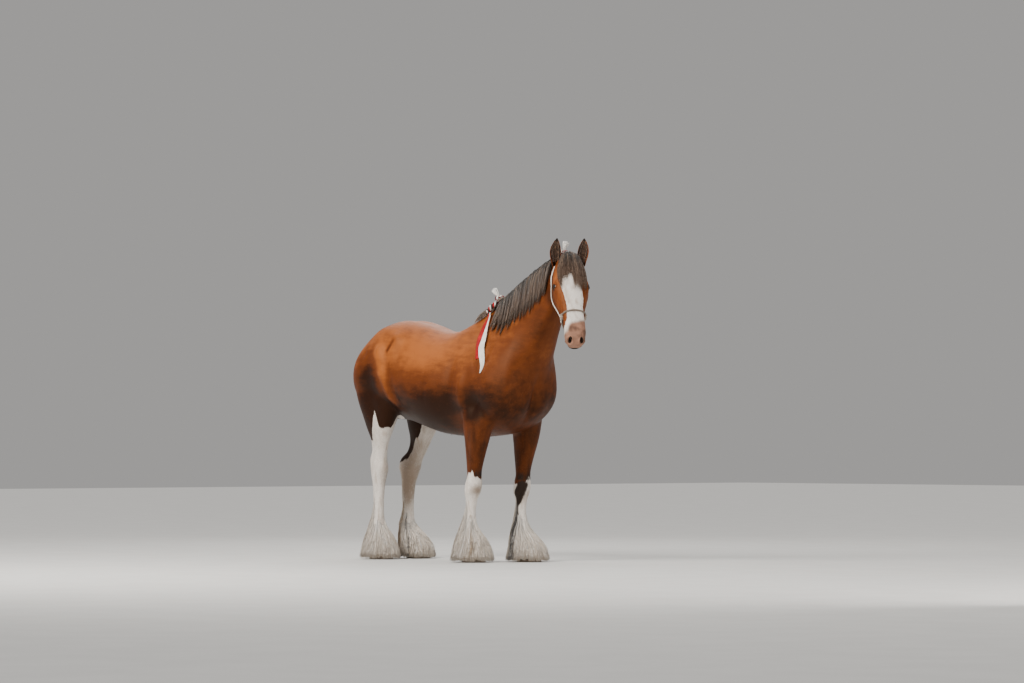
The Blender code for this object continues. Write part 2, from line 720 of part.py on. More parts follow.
def ear(side, finish):
    """A cupped ear that stands up and opens to the front."""
    base = on_head(head_point(EAR_AT[0], EAR_AT[1], side * EAR_AT[2]))
    _, out, _ = head_axes(side, 0.0)
    up = np.array([0.0, 0.0, 1.0]) + 0.04 * out
    up /= np.linalg.norm(up)
    front = np.cross(out, up) * side
    rings = []
    for share, half, cup, edge in EAR:
        bow = 0.006 * math.sin(math.pi * share)
        middle = base + up * share * EAR_LENGTH + out * bow + front * 0.010 * share
        middle = middle + out * (side * EAR_LEAN * EAR_LENGTH * share ** 2)
        outer = np.radians(np.linspace(-100, 100, 7))
        inner = np.radians(np.linspace(88, -88, 5))
        across = np.concatenate([half * np.sin(outer), (half - edge) * np.sin(inner)])
        back = np.concatenate([cup * np.cos(outer), (cup - edge) * np.cos(inner)])
        rings.append(middle + across[:, None] * out - back[:, None] * front)
    return loft("ear_left" if side > 0 else "ear_right", put(rings), finish)


def lock(path, wide, away, half, depth, root=0.6):
    """A flat lock: a three-sided tube along a path that widens from its root, then tapers.

    Its flat side lies across the direction wide, and its ridge looks the way away."""
    path = np.asarray(path, float)
    count = len(path)
    t = np.linspace(0, 1, count)
    tangent = np.gradient(path, axis=0)
    tangent /= np.linalg.norm(tangent, axis=1, keepdims=True)
    wide = np.broadcast_to(np.asarray(wide, float), path.shape)
    wide = wide - tangent * np.sum(wide * tangent, axis=1, keepdims=True)
    wide /= np.linalg.norm(wide, axis=1, keepdims=True)
    ridge = np.cross(wide, tangent)
    middle = count // 2
    if np.dot(ridge[middle], np.broadcast_to(np.asarray(away, float), path.shape)[middle]) < 0:
        wide, ridge = -wide, -ridge
    size = np.minimum(root + (1 - root) * t / 0.3, 1) * np.sqrt(np.clip(1.02 - t, 0, 1))
    size = size[:-1, None]
    rings = [path[:-1] - wide[:-1] * half * size, path[:-1] + wide[:-1] * half * size,
             path[:-1] + ridge[:-1] * depth * size]
    points = np.stack(rings, axis=1).reshape(-1, 3)
    points = np.vstack([points, path[-1:]])
    last, rows = len(points) - 1, count - 1
    faces = [(2, 1, 0)]
    for i in range(rows - 1):
        for j in range(3):
            a, b = i * 3 + j, i * 3 + (j + 1) % 3
            faces.append((a, b, b + 3, a + 3))
    faces += [((rows - 1) * 3 + j, (rows - 1) * 3 + (j + 1) % 3, last) for j in range(3)]
    return mesh_object("lock", put(points), faces)


def on_net(net, row, around, off):
    """Points off a net's surface, and the way out from it there."""
    row, around, off = (np.atleast_1d(np.asarray(v, float)) for v in (row, around, off))
    row, around, off = np.broadcast_arrays(row, around, off)
    step = 0.01

    def at(r, a):
        return np.array([surface(net, [i], [j])[0, 0] for i, j in zip(r, a)])

    here = at(row, around)
    last = len(net) - 1
    down = at(np.clip(row + step, 0, last), around) - at(np.clip(row - step, 0, last), around)
    across = at(row, around + step) - at(row, around - step)
    out = np.cross(across, down)
    out /= np.linalg.norm(out, axis=1, keepdims=True)
    middle = net.mean(axis=1)
    centre = spline(middle, row)
    out *= np.sign(np.sum(out * (here - centre), axis=1, keepdims=True))
    return here + out * off[:, None], out


def trunk_row(x):
    """The row of the trunk's net whose top stands at that x of the layout."""
    return np.interp(x, [row[0] for row in TRUNK], np.arange(len(TRUNK)))


def round_share(depth):
    """The share of a turn at which the trunk's section has sunk to that share of its depth."""
    return np.interp(depth, (0,) + DEPTHS[:4], np.arange(5) / 14)


def mane_locks(rng):
    """Two layers over the crest that fall on her right, then short hair to the withers."""
    net, made = trunk_net(), []
    steps = np.linspace(0, 1, LOCK_STEPS + 2)
    for i in range(MANE_LOCKS * 2):
        layer, k = i % 2, i // 2
        share = (k + 0.5 + 0.5 * layer + 0.3 * rng.uniform(-1, 1)) / MANE_LOCKS
        x = MANE_FROM_X + (MANE_TO_X - MANE_FROM_X) * min(share, 1)
        neck_depth = np.interp(x, [r[0] for r in TRUNK], [r[1] - r[3] for r in TRUNK])
        drop = (0.27 - 0.05 * layer + 0.03 * rng.uniform(-1, 1)) / neck_depth
        around = round_share(drop * steps ** 1.2)
        around[0] = -0.012
        off = np.interp(steps, [0, 0.2, 0.6, 1], [-0.030, 0.016 + 0.012 * layer, 0.024, 0.012])
        off[1:] += 0.006 * rng.uniform(-1, 1) + 0.006 * layer
        row = trunk_row(x) + steps * (-0.25 + 0.35 * rng.uniform(-1, 1))
        path, away = on_net(net, row, around, off)
        made.append(lock(path, MANE_ACROSS, away, MANE_WIDTH * rng.uniform(0.85, 1.1), MANE_DEPTH))
    for k in range(WITHERS_LOCKS):
        x = 0.41 + 0.15 * k / (WITHERS_LOCKS - 1)
        row = trunk_row(x + 0.06 - steps * 0.15)
        around = -0.02 + steps * (0.075 + 0.02 * rng.uniform(-1, 1))
        off = np.interp(steps, [0, 0.25, 0.7, 1], [-0.030, 0.014, 0.022, 0.010])
        path, away = on_net(net, row, around, off)
        made.append(lock(path, MANE_ACROSS, away, MANE_WIDTH * 0.8, MANE_DEPTH))
    return made


def forelock_locks(rng):
    """Locks from the poll that part over the brow, longer on her left."""
    net, made = head_net(), []
    net = on_head(net)
    alongs = [row[0] for row in HEAD]
    steps = np.linspace(0, 1, LOCK_STEPS + 2)
    for k in range(FORELOCK_LOCKS):
        share = k / (FORELOCK_LOCKS - 1)
        across = -0.060 + 0.132 * share + 0.004 * rng.uniform(-1, 1)
        length = 0.185 + 0.07 * share + 0.035 * rng.uniform(-1, 1)
        along = np.interp(steps, [0, 0.25, 0.5, 1], [0.010, 0.004, 0.052, length])
        spread = 0.042 * (2 * share - 1)
        place = spread + (across - spread) * steps ** 0.7
        # Shares of a turn run down her right side first.
        around = -place / 0.62
        off = np.interp(steps, [0, 0.25, 0.5, 0.8, 1], [-0.022, 0.044, 0.034, 0.020, 0.008])
        off[1:] = off[1:] * (1 - 0.25 * abs(2 * share - 1)) + 0.006 * (k % 3)
        row = np.interp(along, alongs, np.arange(len(alongs)))
        path, away = on_net(net, row, around, off)
        half = FORELOCK_WIDTH * rng.uniform(0.85, 1.15)
        across = on_head((0, 1, 0)) - on_head((0, 0, 0))
        made.append(lock(path, across, away, half, FORELOCK_DEPTH, 0.45))
    return made


def feather_locks(leg, rng):
    """Two tiers of locks round the fetlock and the coronet, flaring out over the hoof."""
    end = leg.split("_")[0]
    front, back, out = FEATHER_REACH[end]
    made = []
    fall = np.linspace(0, 1, LOCK_STEPS + 2)
    for tier, (top, foot, share, bulge) in enumerate(FEATHER_TIERS):
        for k in range(FEATHER_LOCKS):
            turn = (k + 0.5 * tier + 0.25 * rng.uniform(-1, 1)) / FEATHER_LOCKS * 2 * math.pi
            c, s = math.cos(turn), math.sin(turn)
            reach = math.hypot((front if c > 0 else back) * c, out * s) * share
            reach *= rng.uniform(0.94, 1.0)
            heights = top + (foot - top) * fall + 0.012 * rng.uniform(-1, 1) * fall * (1 - tier)
            radius = 0.034 + (reach - 0.034) * fall ** bulge
            at_top, at_foot = leg_axis(leg, top), leg_axis(leg, CORONET)
            sway = 0.12 * rng.uniform(-1, 1) * fall
            way = np.stack([np.cos(turn + sway), np.sin(turn + sway), 0 * fall], axis=1)
            centre = np.stack([at_top[0] + (at_foot[0] - at_top[0]) * np.sqrt(fall),
                               at_top[1] + (at_foot[1] - at_top[1]) * np.sqrt(fall),
                               heights], axis=1)
            path = centre + way * radius[:, None]
            wide = np.stack([-way[:, 1], way[:, 0], 0 * fall], axis=1)
            half = FEATHER_WIDTH * rng.uniform(0.9, 1.1)
            made.append(lock(path, wide, way, half, FEATHER_DEPTH))
    return made


def tail_solid(finish, rng):
    """The dock, put up short, with locks of hair round it."""
    x, z = TAIL_TOP
    rings = []
    for share, radius in ((0, 0.034), (0.2, 0.040), (0.5, 0.036), (0.8, 0.026), (1.0, 0.010)):
        turn = np.arange(12) / 12 * 2 * math.pi
        at = np.array([x - 0.085 * share ** 0.5, 0.0, z - TAIL_LENGTH * share])
        slope = np.array([0.6, 0.0, -0.45]) if share < 0.1 else np.array([1.0, 0.0, 0.0])
        slope /= np.linalg.norm(slope)
        rings.append(at + radius * (np.cos(turn)[:, None] * slope
                                    + np.sin(turn)[:, None] * np.array([0.0, 1.0, 0.0])))
    tail = loft("tail", put(rings), finish)
    made = []
    fall = np.linspace(0, 1, LOCK_STEPS + 2)
    for k in range(TAIL_LOCKS):
        turn = math.pi / 2 + (k + 0.5) / TAIL_LOCKS * math.pi
        if k % 2:
            turn = math.pi + (turn - math.pi) * 0.9
        start = 0.10 + 0.35 * (k % 2) + 0.05 * rng.uniform(-1, 1)
        length = 0.25 + 0.03 * rng.uniform(-1, 1)
        radius = 0.012 + 0.034 * np.sin(fall * 2.9)
        centre_x = x - 0.085 * (start ** 0.5) - 0.02 * fall
        path = np.stack([centre_x + radius * math.cos(turn), radius * math.sin(turn),
                         z - TAIL_LENGTH * start - length * fall], axis=1)
        way, wide = (math.cos(turn), math.sin(turn), 0.05), (-math.sin(turn), math.cos(turn), 0)
        made.append(lock(path, wide, way, TAIL_WIDTH, TAIL_DEPTH))
    return fused(tail, made)


def swept(name, path, away, half, thick, finish, closed=False, sides=4):
    """A band or rope along a path, flat against what lies opposite to away."""
    path, away = np.asarray(path, float), np.asarray(away, float)
    half = np.broadcast_to(half, len(path))[:, None]
    if closed:
        tangent = np.roll(path, -1, axis=0) - np.roll(path, 1, axis=0)
    else:
        tangent = np.gradient(path, axis=0)
    wide = np.cross(tangent, away)
    wide /= np.linalg.norm(wide, axis=1, keepdims=True)
    up = np.cross(wide, tangent)
    up /= np.linalg.norm(up, axis=1, keepdims=True)
    turns = np.arange(sides) / sides * 2 * math.pi + math.pi / sides
    scale = 1 / math.cos(math.pi / 4) if sides == 4 else 1.0
    rings = np.stack([path + wide * half * math.cos(a) * scale
                      + up * thick / 2 * math.sin(a) * scale for a in turns], axis=1)
    if not closed:
        return loft(name, put(rings), finish)
    count = len(rings)
    faces = [
        (i * sides + j, i * sides + (j + 1) % sides,
         (i + 1) % count * sides + (j + 1) % sides, (i + 1) % count * sides + j)
        for i in range(count) for j in range(sides)
    ]
    return mesh_object(name, put(rings.reshape(-1, 3)), faces, finish)


def on_skin(points, skins, centre, off):
    """Carries points from a centre line out to the outermost skin there and beyond by off."""
    trees = []
    for skin in skins:
        trees.append(BVHTree.FromObject(skin, bpy.context.evaluated_depsgraph_get()))
    placed, ways = [], []
    for point, middle in zip(put(points), put(centre)):
        way = Vector(point - middle).normalized()
        best, normal = None, way
        for tree in trees:
            hit, found, _, _ = tree.ray_cast(Vector(middle) + way * 0.6, -way)
            if hit is not None:
                far = (hit - Vector(middle)).dot(way)
                if best is None or far > best:
                    best, normal = far, found
        best = (Vector(point) - Vector(middle)).length if best is None else best
        placed.append(np.array(Vector(middle) + way * (best + off)) + ORIGIN)
        ways.append(np.array(normal))
    return np.array(placed), np.array(ways)


def halter(head, neck, white, rope, metal):
    """Strap over the poll, noseband, and the ring that joins them on each cheek."""
    made = []
    turns = np.radians(np.linspace(-150, 150, 17))
    along = np.interp(np.abs(turns), np.radians([0, 60, 100, 150]), [0.045, 0.10, 0.26, 0.435])
    depth = np.interp(np.abs(turns), np.radians([0, 60, 100, 150]), [-0.16, -0.16, -0.16, -0.11])
    centre = on_head(head_point(along, depth, 0.0))
    side = np.sign(turns) * np.interp(np.abs(turns), np.radians([0, 25, 60]), [0, 0.45, 1.0])
    lift = np.interp(np.abs(turns), np.radians([0, 25, 60]), [1.0, 0.75, 0.0])
    reach = on_head(head_point(along - 0.75 * lift, depth + 0.55 * lift, side))
    path, away = on_skin(reach, [head, neck], centre, GAP + STRAP[1] / 2)
    made.append(swept("halter_crown", path, away, STRAP[0] / 2, STRAP[1], white))
    turns = np.arange(20) / 20 * 2 * math.pi
    c, s = np.cos(turns), np.sin(turns)
    along = np.where(c > 0, 0.460 - 0.035 * c, 0.460 - 0.055 * c)
    centre = on_head(head_point(along, np.full(20, -0.09), 0.0))
    reach = on_head(head_point(along, -0.09 + c, s))
    path, away = on_skin(reach, [head], centre, GAP + NOSE_ROPE / 2)
    made.append(swept("halter_noseband", path, away, NOSE_ROPE / 2, NOSE_ROPE, rope, True))
    for way in (-1, 1):
        at = on_head(head_point(0.455, -0.09, way * 0.5))
        centre = on_head(head_point(0.455, -0.09, 0.0))
        spot, out = on_skin([at], [head], [centre], GAP + RING_WIRE + NOSE_ROPE)
        name = "halter_ring_left" if way > 0 else "halter_ring_right"
        turn = Vector(out[0]).to_track_quat("Z", "Y").to_euler()
        bpy.ops.mesh.primitive_torus_add(
            major_radius=RING_RADIUS, minor_radius=RING_WIRE, major_segments=14,
            minor_segments=5, location=put(spot[0]), rotation=turn)
        ring = bpy.context.object
        ring.name = name
        ring.data.materials.append(metal)
        select(ring)
        bpy.ops.object.transform_apply(location=True, rotation=True, scale=True)
        made.append(mesh_outward(ring))
    return made


def cleared(obj, others, by=GAP):
    """Cuts an object back until it stands off the others by the gap."""
    for other in others:
        settled(obj, "DIFFERENCE", lambda turn: [grown(other, by * (1 - 0.03 * turn))])
    return obj


def shoulder_path(skin, rows):
    """Points on her right side at each x and height, with the way out there."""
    tree = BVHTree.FromObject(skin, bpy.context.evaluated_depsgraph_get())
    points, ways = [], []
    for x, z, off in rows:
        start = Vector(put((x, -1.0, z)))
        hit, normal, _, _ = tree.ray_cast(start, Vector((0, 1, 0)))
        points.append(np.array(hit) + ORIGIN + np.array(normal) * off)
        ways.append(np.array(normal))
    return np.array(points), np.array(ways)


def brush(name, at, way, length, radius, finish, rng):
    """A small brush of bristle locks on a round stub."""
    way = np.array(way) / np.linalg.norm(way)
    side = np.cross(way, (0.0, 1.0, 0.3))
    side /= np.linalg.norm(side)
    other = np.cross(way, side)
    made = ellipsoid(np.array(at) + way * length * 0.15, (side, other, way),
                     (radius * 0.42, radius * 0.42, length * 0.22), 8, 4)
    made.name = name
    made.data.materials.append(finish)
    fall = np.linspace(0, 1, LOCK_STEPS + 1)
    locks = []
    for k in range(PLUME_LOCKS):
        turn = k / PLUME_LOCKS * 2 * math.pi + 0.2 * rng.uniform(-1, 1)
        out = math.cos(turn) * side + math.sin(turn) * other
        spread = radius * (0.12 + 0.88 * fall ** 0.8) * (0.55 if k % 3 == 0 else 1.0)
        path = np.array(at) + way * (length * fall)[:, None] + out * spread[:, None]
        locks.append(lock(path, np.cross(out, way), out, radius * 0.42, radius * 0.25, 0.5))
    return fused(made, locks)


def bow(name, at, way, out, size, finish):
    """A small knot with two folded loops of ribbon."""
    way = np.array(way) / np.linalg.norm(way)
    out = np.array(out) - np.dot(out, way) * way
    out /= np.linalg.norm(out)
    side = np.cross(way, out)
    made = ellipsoid(np.array(at), (side, way, out), (size * 0.25, size * 0.22, size * 0.22), 8, 4)
    made.name = name
    made.data.materials.append(finish)
    loops = []
    for turn in (-1, 1):
        middle = np.array(at) + side * turn * size * 0.48
        loops.append(ellipsoid(middle, (side, way, out), (size * 0.45, size * 0.30, size * 0.16),
                               8, 4))
    return fused(made, loops)


def braid(name, path, finish):
    """A plait along a path: a tube of three lobes that turns as it goes."""
    path = spline(path, np.linspace(0, len(path) - 1, 15))
    tangent = np.gradient(path, axis=0)
    tangent /= np.linalg.norm(tangent, axis=1, keepdims=True)
    wide = np.cross(tangent, (0.0, 1.0, 0.0))
    wide /= np.linalg.norm(wide, axis=1, keepdims=True)
    up = np.cross(wide, tangent)
    rings = []
    for i, share in enumerate(np.linspace(0, 1, len(path))):
        turn = np.arange(9) / 9 * 2 * math.pi
        lobes = 0.80 + 0.20 * np.cos(3 * (turn - BRAID_TURNS * share * 2.1))
        end = math.sqrt(max(0.12, min(1, 6 * share, 8 * (1 - share))))
        radius = BRAID_RADIUS * lobes * end
        rings.append(path[i] + (radius * np.cos(turn))[:, None] * wide[i]
                     + (radius * np.sin(turn))[:, None] * up[i])
    return loft(name, put(rings), finish)


def main():
    for obj in list(bpy.data.objects):
        bpy.data.objects.remove(obj)
    rng = np.random.default_rng(SEED)
    bay = material("bay_coat", (0.27, 0.085, 0.025), 0.45)
    white = material("white_coat", (0.80, 0.76, 0.71), 0.7)
    hair = material("dark_hair", (0.045, 0.032, 0.026), 0.6)
    horn = material("hoof_horn", (0.33, 0.26, 0.19), 0.5)
    dark = material("eye", (0.02, 0.012, 0.008), 0.08)
    strap = material("white_strap", (0.78, 0.74, 0.68), 0.6)
    rope = material("grey_rope", (0.24, 0.19, 0.15), 0.7)
    metal = material("ring_metal", (0.55, 0.53, 0.50), 0.3, 1.0)
    red = material("red_ribbon", (0.45, 0.02, 0.02), 0.55)
    pale = material("white_ribbon", (0.82, 0.78, 0.74), 0.55)
    body = flesh()
    nodes = body_nodes(body, bay, white)
    for leg in LEGS:
        fused(nodes["shank_" + leg], feather_locks(leg, rng))
        hoof(leg, horn)
    head = head_solid(bay)
    eyes = [eyeball(side, dark) for side in (-1, 1)]
    finish_head(head, eyes)
    cleared(nodes["neck"], [head])
    bald_head, bald_neck = copied(head, "bald_head"), copied(nodes["neck"], "bald_neck")
    ears = [ear(side, bay) for side in (-1, 1)]
    for one in ears:
        cleared(one, [bald_head, bald_neck])
    worn = halter(bald_head, bald_neck, strap, rope, metal)
    fused(head, forelock_locks(rng))
    fused(nodes["neck"], mane_locks(rng))
    cleared(nodes["neck"], [head, nodes["torso"]], LATE_GAP)
    cleared(nodes["torso"], [])
    tail = tail_solid(hair, rng)
    cleared(tail, [nodes["torso"]])
    crown, noseband, *rings = worn
    for ring in rings:
        cleared(ring, [bald_head])
        cleared(noseband, [ring])
        cleared(crown, [ring])
    cleared(noseband, [bald_head])
    cleared(crown, [bald_head, bald_neck, noseband] + ears)
    cleared(head, ears + [crown], LATE_GAP)
    cleared(nodes["neck"], ears + [crown], LATE_GAP)
    skin = bald_neck
    top, way = on_net(trunk_net(), trunk_row(0.560), 0.012, 0.034)
    plume_at = top[0]
    start = plume_at - np.array([0.0, 0.012, 0.018])
    low = np.array([0.505, -0.105, 1.715])
    plait = braid("mane_braid", [start, (start + low) / 2 + (0.004, -0.012, 0.004), low], red)
    cleared(plait, [skin, nodes["torso"]])
    cleared(nodes["neck"], [plait], LATE_GAP)
    knot = bow("mane_bow", plume_at + (0.0, -0.004, 0.004), (0.1, -0.2, 1.0), (0.5, -0.8, 0.1),
               0.050, red)
    cleared(knot, [plait, nodes["neck"]])
    plume = brush("mane_plume", plume_at + (-0.013, 0.0, 0.016), (-0.55, -0.1, 0.8), 0.062, 0.026,
                  pale, rng)
    cleared(plume, [knot, nodes["neck"]])
    poll = on_head(head_point(-0.032, -0.050, -0.034))
    knot = bow("poll_bow", poll + (0.0, 0.0, 0.034), (0.0, 0.0, 1.0), (0.6, -0.8, 0.0), 0.046, red)
    cleared(knot, [head, nodes["neck"], crown])
    plume = brush("poll_plume", poll + (0.004, 0.008, 0.044), (0.1, 0.1, 1.0), 0.072, 0.026, pale,
                  rng)
    cleared(plume, [knot, head, nodes["neck"]])
    for name, finish, rows, halves in (
        ("ribbon_red", red, ((0.482, 1.700, 0.012), (0.477, 1.636, 0.010), (0.512, 1.537, 0.008),
                             (0.546, 1.470, 0.006), (0.577, 1.404, 0.005)),
         (0.012, 0.019, 0.019, 0.017, 0.016)),
        ("ribbon_white", pale, ((0.505, 1.698, 0.018), (0.525, 1.636, 0.018), (0.570, 1.537, 0.015),
                                (0.595, 1.467, 0.011), (0.639, 1.370, 0.007), (0.648, 1.305, 0.005)),
         (0.010, 0.018, 0.031, 0.026, 0.016, 0.005)),
    ):
        path, away = shoulder_path(nodes["torso"], rows)
        count = 4 * len(rows) - 3
        places = np.linspace(0, len(rows) - 1, count)
        ribbon = swept(name, spline(path, places), spline(away, places),
                       spline(np.array(halves)[:, None], places)[:, 0], RIBBON_THICK, finish)
        cleared(ribbon, [nodes["torso"], nodes["neck"], plait])
    bpy.data.objects.remove(bald_head)
    bpy.data.objects.remove(bald_neck)
    home = bpy.data.collections.new("clydesdale")
    bpy.context.scene.collection.children.link(home)
    total = 0
    for obj in list(bpy.data.objects):
        for old in list(obj.users_collection):
            old.objects.unlink(obj)
        home.objects.link(obj)
        faces = sum(len(p.vertices) - 2 for p in obj.data.polygons)
        total += faces
        print(obj.name, faces)
    print("triangles in all", total)


main()
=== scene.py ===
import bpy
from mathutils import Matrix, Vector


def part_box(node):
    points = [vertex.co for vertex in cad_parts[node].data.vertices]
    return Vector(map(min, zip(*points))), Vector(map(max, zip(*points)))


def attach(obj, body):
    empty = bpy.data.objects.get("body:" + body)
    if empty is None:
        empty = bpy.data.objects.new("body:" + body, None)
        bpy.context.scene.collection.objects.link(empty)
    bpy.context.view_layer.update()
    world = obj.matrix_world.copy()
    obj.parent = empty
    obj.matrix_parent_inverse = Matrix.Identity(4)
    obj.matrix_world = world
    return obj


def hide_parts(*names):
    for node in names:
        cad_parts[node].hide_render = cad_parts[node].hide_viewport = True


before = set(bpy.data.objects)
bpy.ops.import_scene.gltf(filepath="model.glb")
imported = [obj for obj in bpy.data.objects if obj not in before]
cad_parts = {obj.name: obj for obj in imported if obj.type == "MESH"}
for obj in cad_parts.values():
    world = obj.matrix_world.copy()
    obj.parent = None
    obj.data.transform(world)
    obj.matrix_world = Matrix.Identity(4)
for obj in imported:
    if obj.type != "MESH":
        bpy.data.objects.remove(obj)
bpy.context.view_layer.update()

from math import cos, pi, radians, sin

import bmesh
import bpy
import numpy as np
from mathutils import Vector
from mathutils.bvhtree import BVHTree

SIDES = {-1: "right", 1: "left"}
# The layout's values repeat those of the solids: metres, +X to the chest, +Y to her left.
ORIGIN = np.array([0.2821, 0.0, 0.0])
DEPTHS = (0.03, 0.14, 0.34, 0.58, 0.8, 0.95)
TRUNK = (
    (-0.9, 1.4, -0.885, 1.24, 0.02, 0.05, 0.07, 0.07, 0.05, 0.02),
    (-0.862, 1.475, -0.86, 1.13, 0.06, 0.12, 0.18, 0.19, 0.15, 0.08),
    (-0.79, 1.555, -0.77, 1.04, 0.08, 0.172, 0.255, 0.27, 0.22, 0.11),
    (-0.67, 1.63, -0.64, 1.0, 0.115, 0.225, 0.305, 0.32, 0.25, 0.11),
    (-0.52, 1.69, -0.5, 0.99, 0.135, 0.26, 0.325, 0.335, 0.255, 0.11),
    (-0.38, 1.7, -0.38, 0.975, 0.14, 0.265, 0.33, 0.325, 0.26, 0.12),
    (-0.22, 1.668, -0.22, 0.935, 0.13, 0.24, 0.315, 0.335, 0.28, 0.135),
    (-0.04, 1.622, -0.05, 0.895, 0.11, 0.225, 0.315, 0.35, 0.295, 0.145),
    (0.12, 1.612, 0.12, 0.875, 0.09, 0.205, 0.31, 0.345, 0.285, 0.14),
    (0.26, 1.66, 0.29, 0.868, 0.06, 0.155, 0.27, 0.315, 0.26, 0.13),
    (0.39, 1.722, 0.46, 0.87, 0.036, 0.105, 0.23, 0.295, 0.25, 0.13),
    (0.52, 1.782, 0.635, 0.893, 0.028, 0.085, 0.2, 0.29, 0.265, 0.18),
    (0.63, 1.85, 0.78, 0.965, 0.028, 0.075, 0.165, 0.268, 0.282, 0.21),
    (0.74, 1.915, 0.88, 1.09, 0.027, 0.065, 0.13, 0.212, 0.243, 0.2),
    (0.86, 1.98, 0.938, 1.272, 0.026, 0.06, 0.105, 0.148, 0.156, 0.104),
    (0.99, 2.046, 1.018, 1.448, 0.025, 0.055, 0.09, 0.115, 0.12, 0.08),
    (1.115, 2.098, 1.094, 1.602, 0.025, 0.052, 0.085, 0.1, 0.1, 0.065),
    (1.22, 2.13, 1.16, 1.735, 0.027, 0.055, 0.085, 0.095, 0.09, 0.06),
    (1.3, 2.116, 1.222, 1.85, 0.028, 0.05, 0.075, 0.08, 0.075, 0.045),
    (1.335, 2.065, 1.27, 1.9, 0.02, 0.035, 0.05, 0.05, 0.04, 0.02),
)
NECK_FROM, NECK_TO = 0.6, 1.23
NECK_TURN = radians(-2)
POLL_TURN = radians(34)
POLL_JOINT_X = 1.235
POLL = (1.33, 2.105)
FACE_LEAN = radians(26)
# How far the face leans to her left for each metre along it.
FACE_SWAY = 0.006
HEAD_DEPTHS = (0.05, 0.2, 0.42, 0.66, 0.9)
HEAD = (
    (-0.032, -0.085, -0.125, 0.01, 0.02, 0.026, 0.02, 0.01),
    (-0.018, -0.045, -0.165, 0.036, 0.058, 0.064, 0.06, 0.036),
    (0.03, -0.017, -0.21, 0.06, 0.088, 0.09, 0.082, 0.052),
    (0.09, -0.003, -0.25, 0.078, 0.11, 0.108, 0.1, 0.066),
    (0.15, 0.006, -0.27, 0.085, 0.12, 0.116, 0.11, 0.074),
    (0.21, 0.01, -0.276, 0.084, 0.122, 0.12, 0.114, 0.078),
    (0.27, 0.009, -0.268, 0.076, 0.112, 0.115, 0.109, 0.074),
    (0.33, 0.006, -0.246, 0.067, 0.099, 0.103, 0.096, 0.064),
    (0.39, 0.004, -0.216, 0.06, 0.088, 0.09, 0.08, 0.052),
    (0.45, 0.004, -0.188, 0.056, 0.08, 0.081, 0.068, 0.045),
    (0.5, 0.003, -0.17, 0.054, 0.076, 0.076, 0.062, 0.041),
    (0.545, 0.0, -0.157, 0.052, 0.073, 0.074, 0.059, 0.039),
    (0.585, -0.006, -0.152, 0.051, 0.071, 0.072, 0.057, 0.038),
    (0.618, -0.018, -0.15, 0.044, 0.061, 0.063, 0.051, 0.035),
    (0.645, -0.038, -0.14, 0.034, 0.048, 0.05, 0.042, 0.027),
    (0.658, -0.066, -0.122, 0.017, 0.026, 0.028, 0.025, 0.013),
)
EYE_AT = (0.222, -0.05, 0.099)
EYE_RADIUS = 0.024
EYE_FORWARD = radians(34)
ORBIT = (0.05, 0.033, 0.036)
# Middle of a nostril, along and across the face; then the fold that runs up from it.
NOSTRIL_HOLE = (0.634, 0.04)
NOSTRIL_GROOVE = ((0.622, -0.052, 0.052), (0.56, -0.05, 0.07))
CHIN = (0.606, -0.142, 0.031)
EAR_AT = (0.045, -0.078, 0.086)
EAR_LENGTH = 0.19
# How far both tips lean to her left, as a share of the ear's length.
EAR_LEAN = 0.065
EAR = (
    (0.0, 0.027, 0.026, 0.012),
    (0.16, 0.03, 0.028, 0.008),
    (0.34, 0.037, 0.029, 0.006),
    (0.52, 0.039, 0.026, 0.005),
    (0.7, 0.033, 0.02, 0.005),
    (0.86, 0.02, 0.012, 0.004),
    (0.96, 0.008, 0.006, 0.003),
    (1.0, 0.003, 0.003, 0.001),
)
FORE_LEG = (
    (1.14, 0.14, 0.17, 0.075, 0.07),
    (1.02, 0.14, 0.15, 0.09, 0.078),
    (0.93, 0.12, 0.13, 0.088, 0.074),
    (0.84, 0.1, 0.102, 0.079, 0.066),
    (0.74, 0.083, 0.08, 0.067, 0.057),
    (0.64, 0.064, 0.062, 0.055, 0.048),
    (0.575, 0.062, 0.06, 0.055, 0.052),
    (0.525, 0.066, 0.062, 0.06, 0.058),
    (0.475, 0.06, 0.062, 0.056, 0.055),
    (0.43, 0.047, 0.052, 0.044, 0.042),
    (0.35, 0.041, 0.047, 0.037, 0.036),
    (0.275, 0.044, 0.052, 0.04, 0.04),
    (0.225, 0.052, 0.064, 0.05, 0.05),
    (0.18, 0.05, 0.058, 0.049, 0.049),
    (0.14, 0.054, 0.052, 0.05, 0.05),
    (0.105, 0.066, 0.062, 0.066, 0.064),
    (0.08, 0.07, 0.065, 0.068, 0.066),
)
HIND_LEG = (
    (1.34, 0.2, 0.2, 0.12, 0.1),
    (1.22, 0.215, 0.215, 0.125, 0.11),
    (1.12, 0.205, 0.19, 0.12, 0.105),
    (1.03, 0.175, 0.158, 0.108, 0.092),
    (0.94, 0.138, 0.122, 0.092, 0.075),
    (0.85, 0.1, 0.086, 0.068, 0.053),
    (0.77, 0.08, 0.084, 0.056, 0.047),
    (0.71, 0.074, 0.108, 0.056, 0.05),
    (0.655, 0.08, 0.1, 0.06, 0.057),
    (0.595, 0.068, 0.074, 0.057, 0.054),
    (0.53, 0.055, 0.062, 0.048, 0.045),
    (0.43, 0.048, 0.057, 0.04, 0.039),
    (0.32, 0.045, 0.052, 0.04, 0.04),
    (0.255, 0.053, 0.064, 0.05, 0.05),
    (0.205, 0.052, 0.058, 0.049, 0.049),
    (0.155, 0.055, 0.052, 0.05, 0.05),
    (0.115, 0.066, 0.062, 0.064, 0.062),
    (0.085, 0.07, 0.065, 0.067, 0.065),
)
FORE_JOINTS = (1.14, 0.93, 0.7, 0.57, 0.49, 0.36, 0.225, 0.08)
HIND_JOINTS = (1.34, 1.05, 0.91, 0.79, 0.655, 0.5, 0.245, 0.085)
